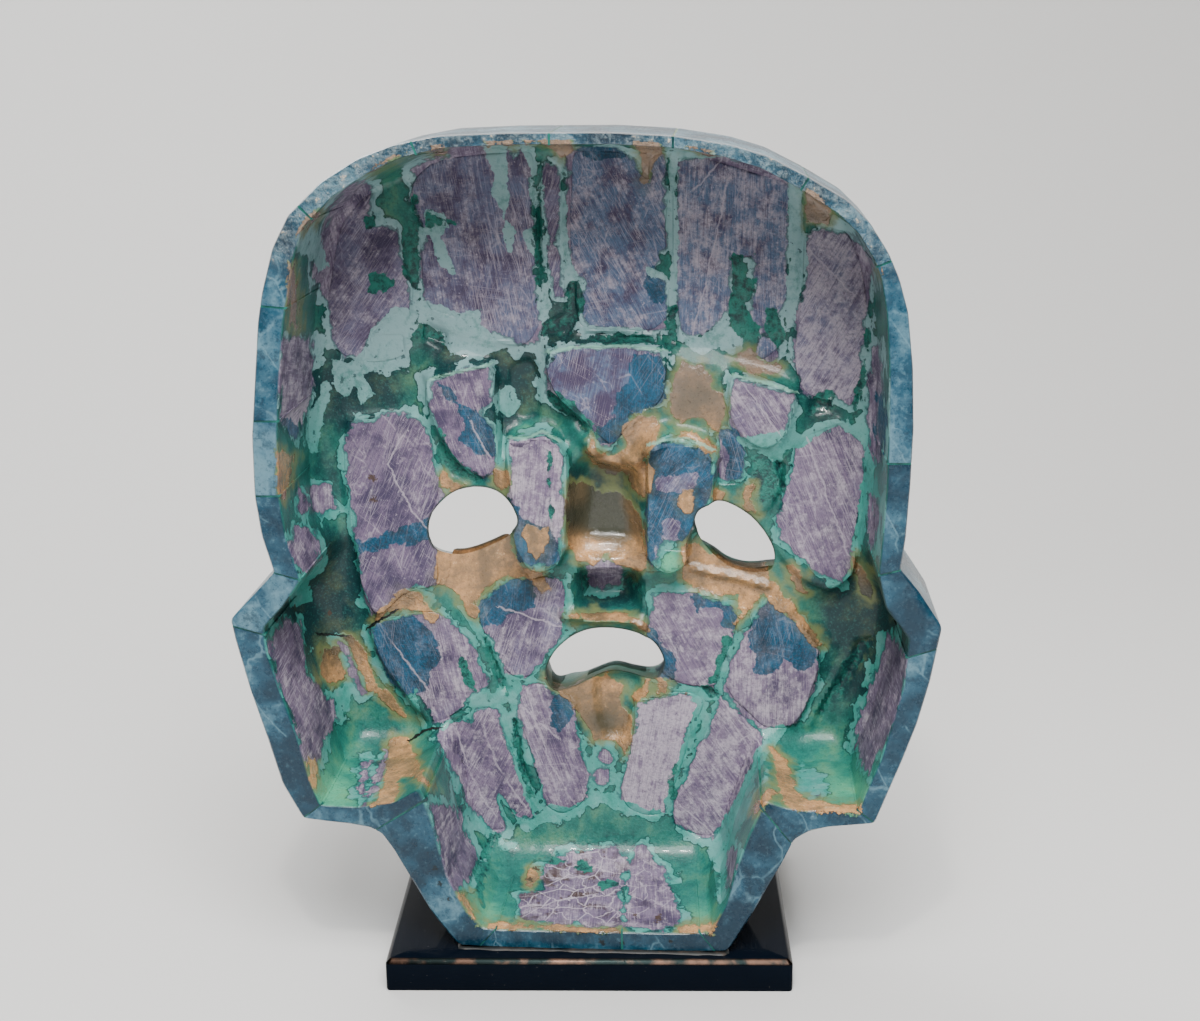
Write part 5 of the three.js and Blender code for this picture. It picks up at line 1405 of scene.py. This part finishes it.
class StageSettings(bpy.types.PropertyGroup):
    """The floor, the lights and the camera."""
    camera_place: bpy.props.FloatVectorProperty(
        name="Camera place", description="Where the camera stands", subtype="TRANSLATION",
        default=(-0.0172, 0.550, 0.2734))
    camera_tilt: bpy.props.FloatProperty(
        name="Camera tilt", description="How far the camera looks down", subtype="ANGLE",
        default=radians(14.25))
    camera_turn: bpy.props.FloatProperty(
        name="Camera turn", description="How far the camera turns towards +X", subtype="ANGLE",
        default=radians(1.44))
    camera_roll: bpy.props.FloatProperty(
        name="Camera roll", description="How far the camera leans", subtype="ANGLE",
        default=radians(-0.55))
    lens: bpy.props.FloatProperty(
        name="Lens", description="Focal length for a 36 mm wide picture", default=56.14)
    floor_colour: bpy.props.FloatVectorProperty(
        name="Floor colour", description="Colour of the plain floor", subtype="COLOR",
        default=COLOURS["floor"])


# Pieces

def plate_rings(plate, sizes):
    """The rings of one plate, from the middle of its ground back over the rounded edge and down the
    side to the middle of its front. A ring is the outline drawn in towards the middle by a share."""
    outline, middle, depth = plate["outline"], plate["middle"], plate["depth"]
    reach = np.linalg.norm(outline - middle, axis=1)
    edge = sizes.plate_edge
    inner = 1 - edge / reach
    steps = max(int(reach.mean() / 1.1), 6)
    shares = [inner * share for share in np.linspace(0, 1, steps + 1)[1:]]
    rings = []
    for share in shares:
        place = middle + (outline - middle) * share[:, None]
        uneven = 0.10 * ripple(*place.T, 17, 5) + 0.04 * ripple(*place.T, 5, 6)
        rings.append((place, depth + uneven))
    for back, drop in ((0.42, 0.12), (0.0, 0.55)):
        place = middle + (outline - middle) * (1 - back * edge / reach)[:, None]
        rings.append((place, np.full(len(place), depth + drop)))
    front_outline = middle + (outline - middle) * (1 + 0.22 / reach)[:, None]
    front_outline = kept_inside(middle, front_outline, FLARED)
    front = face_depth(*front_outline.T)
    for share in (0.5, 1.0):
        place = outline + (front_outline - outline) * share
        rings.append((place, (depth + 0.55) * (1 - share) + (front - 0.6) * share))
    for back, drop in ((0.3, 0.18), (0.9, 0.0)):
        place = middle + (front_outline - middle) * (1 - back / reach)[:, None]
        rings.append((place, face_depth(*place.T) - drop))
    for share in np.linspace(1, 0, max(steps * 2 // 3, 5) + 1)[1:-1]:
        place = middle + (front_outline - middle) * (share * (1 - 0.9 / reach))[:, None]
        rings.append((place, face_depth(*place.T)))
    return np.stack([np.column_stack([place[:, 0], depths, place[:, 1]]) for place, depths in rings])


def build_plate(plate, sizes):
    """One face plate as a closed loft of its rings."""
    x, z = plate["middle"]
    ends = [[x, plate["depth"], z], [x, float(face_depth(np.array([x]), np.array([z]))[0]), z]]
    return turned_outwards(loft(plate["name"] + "_stone", plate_rings(plate, sizes), ends))


def front_of_walls(along, across):
    """Depth of the face's front where the wall's section meets it."""
    place = wall_points(along, across, np.full(across.shape, WALL_FRONT))
    return face_depth(place[..., 0], place[..., 1])


def wall_rings(first, last):
    """The rings of one wall: at each length along the rim, a line round the section, over the rim's
    face, down the inner face to the front, across it and back up the outer face."""
    along = np.linspace(first, last, max(int((last - first) / 1.0), 4) + 1)
    rim = np.linspace(0.06, 0.94, 5)
    inner = np.linspace(0.012, 0.97, 44)
    front = np.linspace(0.9, 0.1, 4)
    outer = np.linspace(0.97, 0.012, 20)
    across = np.concatenate([rim, np.ones(len(inner)), front, np.zeros(len(outer))])
    share = np.concatenate([np.zeros(len(rim)), inner, np.ones(len(front)), outer])
    across, along_grid = np.meshgrid(across, along)
    share = np.broadcast_to(share, across.shape)
    depth = front_of_walls(along_grid, across) * share
    place = wall_points(along_grid, across, depth)
    x, z = place[..., 0], place[..., 1]
    chip = np.where(share == 0, 0.10 * ripple(x, z, 5, 8) + 0.06 * ripple(x, z, 2.2, 9), 0)
    hollow = (across > 0.999) & (share < 0.96)
    return np.stack([x, depth + chip, z], axis=-1), hollow


def build_wall(name, sizes):
    """One wall plate as a closed loft of its sections, with the number that marks its inner face."""
    start, end = WALLS[name]
    first, last = np.interp([start, end], np.arange(len(RIM_ALONG)), RIM_ALONG)
    rings, hollow = wall_rings(first + sizes.wall_seam / 2, last - sizes.wall_seam / 2)
    made = turned_outwards(loft(name + "_stone", rings, [rings[0].mean(axis=0), rings[-1].mean(axis=0)]))
    return made, np.concatenate([hollow.ravel(), [0, 0]])


def resin_sheet(plates, sizes):
    """The resin before it is cut: two grids of points, the hollow side and the front, joined round
    the edge."""
    low, high = INNER_OUTLINE.min(axis=0) - 3, INNER_OUTLINE.max(axis=0) + 3
    counts = ((high - low) / sizes.mesh_step).astype(int) + 1
    x, z = np.meshgrid(np.linspace(low[0], high[0], counts[0]), np.linspace(low[1], high[1], counts[1]))
    flat = np.column_stack([x.ravel(), z.ravel()])
    back = resin_depth(x, z, plates, sizes)
    front = face_depth(*flat.T) - sizes.front_recess
    back = np.minimum(back, front - 1.5)
    points = np.vstack([np.column_stack([flat[:, 0], depth, flat[:, 1]]) for depth in (back, front)])
    index = np.arange(len(flat)).reshape(x.shape)
    quads = np.stack([index[:-1, :-1], index[:-1, 1:], index[1:, 1:], index[1:, :-1]], -1).reshape(-1, 4)
    around = np.concatenate([index[0, :-1], index[:-1, -1], index[-1, :0:-1], index[:0:-1, 0]])
    ahead = np.roll(around, -1)
    sides = np.stack([around, ahead, ahead + len(flat), around + len(flat)], axis=-1)
    faces = [quads, quads[:, ::-1] + len(flat), sides[:, ::-1]]
    return turned_outwards(new_mesh("resin_casting", points, faces))


def opening(outline, flared):
    """The space of one opening: straight as far as the plates' backs, then wider to the front."""
    far = 100
    sections = ((0, outline), (BACKS, outline), (FULL_WIDTH, flared), (far, flared))
    rings = np.stack([np.column_stack([line[:, 0], np.full(len(line), depth), line[:, 1]])
                      for depth, line in sections])
    middle_x, middle_z = outline.mean(axis=0)
    ends = [[middle_x, 0, middle_z], [middle_x, far, middle_z]]
    return turned_outwards(loft("opening", rings, ends))


def inside_of_walls():
    """The space inside the walls, as a loft of their inner face at four depths."""
    depths = (-5.0, 20.0, 45.0, 90.0)
    rings = []
    for depth in depths:
        outline = rim_outline(1.0, min(depth, 66.0), 1.5)
        rings.append(np.column_stack([outline[:, 0], np.full(len(outline), depth), outline[:, 1]]))
    ends = [[0, depths[0], 120], [0, depths[-1], 120]]
    return turned_outwards(loft("inside", np.stack(rings), ends))


def rim_joint(along, sizes):
    """The resin in one joint of the rim: a thin upright sheet from just under the rim to just under
    the walls' front, as four-cornered rings at even shares of the depth."""
    count, under_rim, end_share = 50, 0.25, 0.96
    share = np.linspace(0, 1, count)[:, None]
    across = np.tile([0.02, 1.04, 1.04, 0.02], (count, 1))
    place = along + np.tile([-1, -1, 1, 1], (count, 1)) * sizes.wall_seam / 2
    depth = under_rim + share * (end_share * front_of_walls(place, across) - under_rim)
    x, z = np.moveaxis(wall_points(place, across, depth), -1, 0)
    rings = np.stack([x, depth, z], axis=-1)
    return turned_outwards(loft("joint", rings, [rings[0].mean(axis=0), rings[-1].mean(axis=0)]))


def build_resin(plates, plate_objects, sizes):
    """The resin: the sheet kept inside the walls, less the plates and the openings, plus the rim's
    joints."""
    resin = resin_sheet(plates, sizes)
    cut(resin, inside_of_walls(), "INTERSECT")
    openings = [opening(*lines) for lines in zip(EYES_AND_MOUTH, FLARED)]
    cutters = joined("cutters", [*plate_objects, *openings])
    for space in openings:
        bpy.data.objects.remove(space)
    cut(resin, cutters, "DIFFERENCE")
    stations = np.interp([start for start, _ in WALLS.values()], np.arange(len(RIM_ALONG)), RIM_ALONG)
    ribs = [rim_joint(along, sizes) for along in stations]
    all_ribs = joined("joints", ribs)
    for rib in ribs:
        bpy.data.objects.remove(rib)
    cut(resin, all_ribs, "UNION")
    return resin


def rounded_rectangle(half_x, half_y, radius, steps=6):
    """A closed rectangle whose corners are quarter circles."""
    angles = np.concatenate([np.linspace(quarter, quarter + pi / 2, steps)
                             for quarter in (0, pi / 2, pi, 3 * pi / 2)])
    signs = np.repeat([[1, 1], [-1, 1], [-1, -1], [1, -1]], steps, axis=0)
    corners = signs * [half_x - radius, half_y - radius]
    return corners + radius * np.column_stack([np.cos(angles), np.sin(angles)])


def build_slab():
    """The slab: rounded rectangles stacked up its side, over the bevel and onto its top."""
    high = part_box("slab")[1]
    half_x, half_y, height = high.x * 1000, high.y * 1000, high.z * 1000
    bevel = 1.4
    profile = [(6, 0), (0.5, 0), (0.15, 0.12), (0, 0.5), (0, 4), (0, height - bevel - 0.1),
               (0.04, height - bevel + 0.02), (bevel - 0.08, height - 0.06), (bevel + 0.05, height),
               (8, height)]
    rings = []
    for inset, z in profile:
        outline = rounded_rectangle(half_x - inset, half_y - inset, max(1.2 - inset * 0.3, 0.4))
        rings.append(np.column_stack([outline, np.full(len(outline), z)]))
    rings = np.stack(rings)
    ends = np.array([[0, 0, 0], [0, 0, height]])
    made = turned_outwards(loft("slab_block", to_local(rings / 1000), to_local(ends / 1000)))
    _, y, z = vertices_of(made).T * 1000
    set_attribute(made, "bevel", (z > height - bevel) & (z < height - 0.03) & (y > half_y - 2))
    return made


def build_glue():
    """Glue round the foot: a low oval bead of uneven thickness carried along the foot's edge."""
    corners = np.array([[38.0, 0.0], [36.0, 50.0], [-36.0, 50.0], [-40.5, 0.0]])
    path = evenly(corners, 1.0)
    step = np.roll(path, -1, axis=0) - np.roll(path, 1, axis=0)
    outwards = np.stack([step[:, 1], -step[:, 0]], axis=1)
    outwards /= np.linalg.norm(outwards, axis=1)[:, None]
    outwards *= np.sign((outwards * (path - path.mean(axis=0))).sum())
    thick = 0.9 + 0.5 * ripple(*path.T, 11, 12) + 0.25 * ripple(*path.T, 4, 13)
    thick = np.maximum(thick, 0.35)
    angles = np.linspace(0, 2 * pi, 12, endpoint=False)
    reach = 0.2 + np.outer(thick, np.cos(angles)) * 1.3
    rise = -STANDING_GAP + 0.12 + np.outer(thick, np.sin(angles)) * 0.55
    rise = np.maximum(rise, -STANDING_GAP + 0.02)
    place = path[:, None] + outwards[:, None] * reach[..., None]
    rings = np.stack([place[..., 0], place[..., 1], rise], axis=-1)
    index = np.arange(rings.shape[0] * rings.shape[1]).reshape(rings.shape[:2])
    ahead = np.roll(index, -1, axis=0)
    quads = np.stack([index, np.roll(index, -1, axis=1), np.roll(ahead, -1, axis=1), ahead], axis=-1)
    return turned_outwards(new_mesh("glue_bead", rings.reshape(-1, 3), [quads.reshape(-1, 4)]))


# Operators

# What the operators have built so far, and how far a stone's tone is from the one before it

MADE = {}
TONE_STEP = 0.618


class MASK_OT_plates(bpy.types.Operator):
    """Builds the stone plates of the face."""
    bl_idname = "mask.plates"
    bl_label = "Face plates"

    def execute(self, context):
        sizes = context.scene.mask_sizes
        material = stone_look("face_stone")
        MADE["plates"] = all_plates()
        MADE["plate_objects"] = []
        for number, plate in enumerate(MADE["plates"]):
            made = build_plate(plate, sizes)
            local = to_local(vertices_of(made))
            front = face_depth(local[:, 0], local[:, 2])
            tint = TINTS.get(plate["name"], PLAIN_TINT)
            paint(made, ramp(front - local[:, 1], 1.5, 4.0), (number * TONE_STEP) % 1, tint)
            finished(made, material, "ground_stone", plate["name"])
            MADE["plate_objects"].append(made)
        return {"FINISHED"}


class MASK_OT_walls(bpy.types.Operator):
    """Builds the stone walls of the rim."""
    bl_idname = "mask.walls"
    bl_label = "Rim walls"

    def execute(self, context):
        material = stone_look("rim_stone")
        for number, name in enumerate(WALLS):
            made, hollow = build_wall(name, context.scene.mask_sizes)
            slot = "pale_stone" if "pale" in name else "stone"
            paint(made, hollow, (number * TONE_STEP + 0.3) % 1, TINTS.get(name, PLAIN_TINT))
            finished(made, material, slot, name)
        return {"FINISHED"}


class MASK_OT_resin(bpy.types.Operator):
    """Builds the resin that holds the stones."""
    bl_idname = "mask.resin"
    bl_label = "Resin"

    def execute(self, context):
        if "plates" not in MADE:
            raise RuntimeError("build the face plates before the resin")
        made = build_resin(MADE["plates"], MADE["plate_objects"], context.scene.mask_sizes)
        local = to_local(vertices_of(made))
        front = face_depth(local[:, 0], local[:, 2])
        paint(made, ramp(front - local[:, 1], 1.0, 3.0) * ramp(local[:, 1], 1.0, 3.0), 0.5)
        finished(made, resin_look("cast_resin"), "resin", "resin")
        return {"FINISHED"}


class MASK_OT_slab(bpy.types.Operator):
    """Builds the slab and the glue on it."""
    bl_idname = "mask.slab"
    bl_label = "Slab and glue"

    def execute(self, context):
        finished(build_slab(), slab_look("black_stone"), "slab", "slab")
        finished(build_glue(), glue_look("set_glue"), "resin")
        return {"FINISHED"}


def standing(place, forward, roll=0.0):
    """The place and turn of a lamp or camera that looks forward: its side is level, then it rolls."""
    side = np.cross(forward, [0, 0, 1])
    side /= np.linalg.norm(side)
    up = np.cross(side, forward)
    side, up = cos(roll) * side + sin(roll) * up, cos(roll) * up - sin(roll) * side
    turn = Matrix(np.column_stack([side, up, -forward]).tolist()).to_4x4()
    return Matrix.Translation(place) @ turn


# Sky, and lights: place, side length in metres, power in watts and colour

SKY = {"Color": (0.9, 0.95, 1.0, 1), "Strength": 0.16}
LIGHT_TARGET = (0.0, 0.0, 0.13)
LIGHTS = {
    "key": ((-0.08, 0.66, 0.98), 0.65, 21, (1, 1, 1)),
    "spark": ((0.06, 0.60, 1.00), 0.06, 3.6, (1.0, 0.95, 0.88)),
    "ceiling": ((0.0, 0.1, 2.1), 2.2, 27, (1.0, 0.94, 0.88)),
    "front": ((0.5, -0.75, 0.8), 0.6, 8, (1, 1, 1)),
}


def area_light(name, place, size, power, colour):
    """A soft square light that faces LIGHT_TARGET."""
    light = bpy.data.lights.new(name, "AREA")
    light.size = size
    light.energy = power
    light.color = colour
    lamp = bpy.data.objects.new(name, light)
    bpy.context.scene.collection.objects.link(lamp)
    towards = np.subtract(LIGHT_TARGET, place)
    lamp.matrix_world = standing(place, towards / np.linalg.norm(towards))


def build_floor(colour):
    """The floor: flat under the mask, then a quarter circle up to a wall on the face's side."""
    half_width, near, far, wall_height, bend = 3.0, 2.0, -0.9, 2.2, 0.5
    floor_line = [(near, 0.0), (far + bend, 0.0)]
    angles = np.linspace(0, pi / 2, 16)
    curve = [(far + bend - bend * sin(angle), bend - bend * cos(angle)) for angle in angles]
    line = np.array(floor_line + curve[1:] + [(far, wall_height)])
    across = np.linspace(-half_width, half_width, 5)
    x, y = np.meshgrid(across, line[:, 0])
    z = np.broadcast_to(line[:, 1:], x.shape)
    points = np.stack([x, y, z], axis=-1).reshape(-1, 3)
    index = np.arange(len(points)).reshape(x.shape)
    quads = np.stack([index[:-1, :-1], index[1:, :-1], index[1:, 1:], index[:-1, 1:]], -1)
    floor = new_mesh("floor", to_local(points), [quads.reshape(-1, 4)])
    floor.data.shade_smooth()
    look = Look("plain_floor")
    floor.data.materials.append(look.finish(**{"Base Color": (*colour, 1), "Roughness": 0.9}))


def build_camera(stage):
    """The camera, which stands and looks as the stage's settings say."""
    lens = bpy.data.cameras.new("camera")
    lens.sensor_width = 36
    lens.lens = stage.lens
    camera = bpy.data.objects.new("camera", lens)
    bpy.context.scene.collection.objects.link(camera)
    tilt, turn, roll = stage.camera_tilt, stage.camera_turn, stage.camera_roll
    forward = np.array([sin(turn) * cos(tilt), -cos(turn) * cos(tilt), -sin(tilt)])
    camera.matrix_world = standing(stage.camera_place, forward, roll)
    bpy.context.scene.camera = camera


class MASK_OT_stage(bpy.types.Operator):
    """Builds the floor, the lights and the camera."""
    bl_idname = "mask.stage"
    bl_label = "Stage"

    def execute(self, context):
        stage = context.scene.mask_stage
        build_floor(stage.floor_colour)
        world = bpy.data.worlds.new("studio")
        world.use_nodes = True
        for name, value in SKY.items():
            world.node_tree.nodes["Background"].inputs[name].default_value = value
        context.scene.world = world
        for name, values in LIGHTS.items():
            area_light(name, *values)
        build_camera(stage)
        return {"FINISHED"}


class MASK_PT_panel(bpy.types.Panel):
    """Lists the settings and the steps."""
    bl_idname = "MASK_PT_panel"
    bl_label = "Mosaic mask"
    bl_space_type = "VIEW_3D"
    bl_region_type = "UI"
    bl_category = "Mask"

    def draw(self, context):
        for group in (context.scene.mask_sizes, context.scene.mask_stage):
            box = self.layout.box()
            for name in group.__annotations__:
                box.prop(group, name)
        for operator in OPERATORS:
            self.layout.operator(operator.bl_idname)


OPERATORS = (MASK_OT_plates, MASK_OT_walls, MASK_OT_resin, MASK_OT_slab, MASK_OT_stage)
CLASSES = (MaskSizes, StageSettings, *OPERATORS, MASK_PT_panel)


def register():
    """Adds the classes and the settings to Blender."""
    for item in CLASSES:
        bpy.utils.register_class(item)
    bpy.types.Scene.mask_sizes = bpy.props.PointerProperty(type=MaskSizes)
    bpy.types.Scene.mask_stage = bpy.props.PointerProperty(type=StageSettings)


def unregister():
    """Takes the settings and the classes away again."""
    del bpy.types.Scene.mask_stage
    del bpy.types.Scene.mask_sizes
    for item in reversed(CLASSES):
        bpy.utils.unregister_class(item)


def main():
    """Registers the add-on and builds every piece."""
    register()
    bpy.ops.mask.plates()
    bpy.ops.mask.walls()
    bpy.ops.mask.resin()
    bpy.ops.mask.slab()
    bpy.ops.mask.stage()


if __name__ == "__main__":
    main()
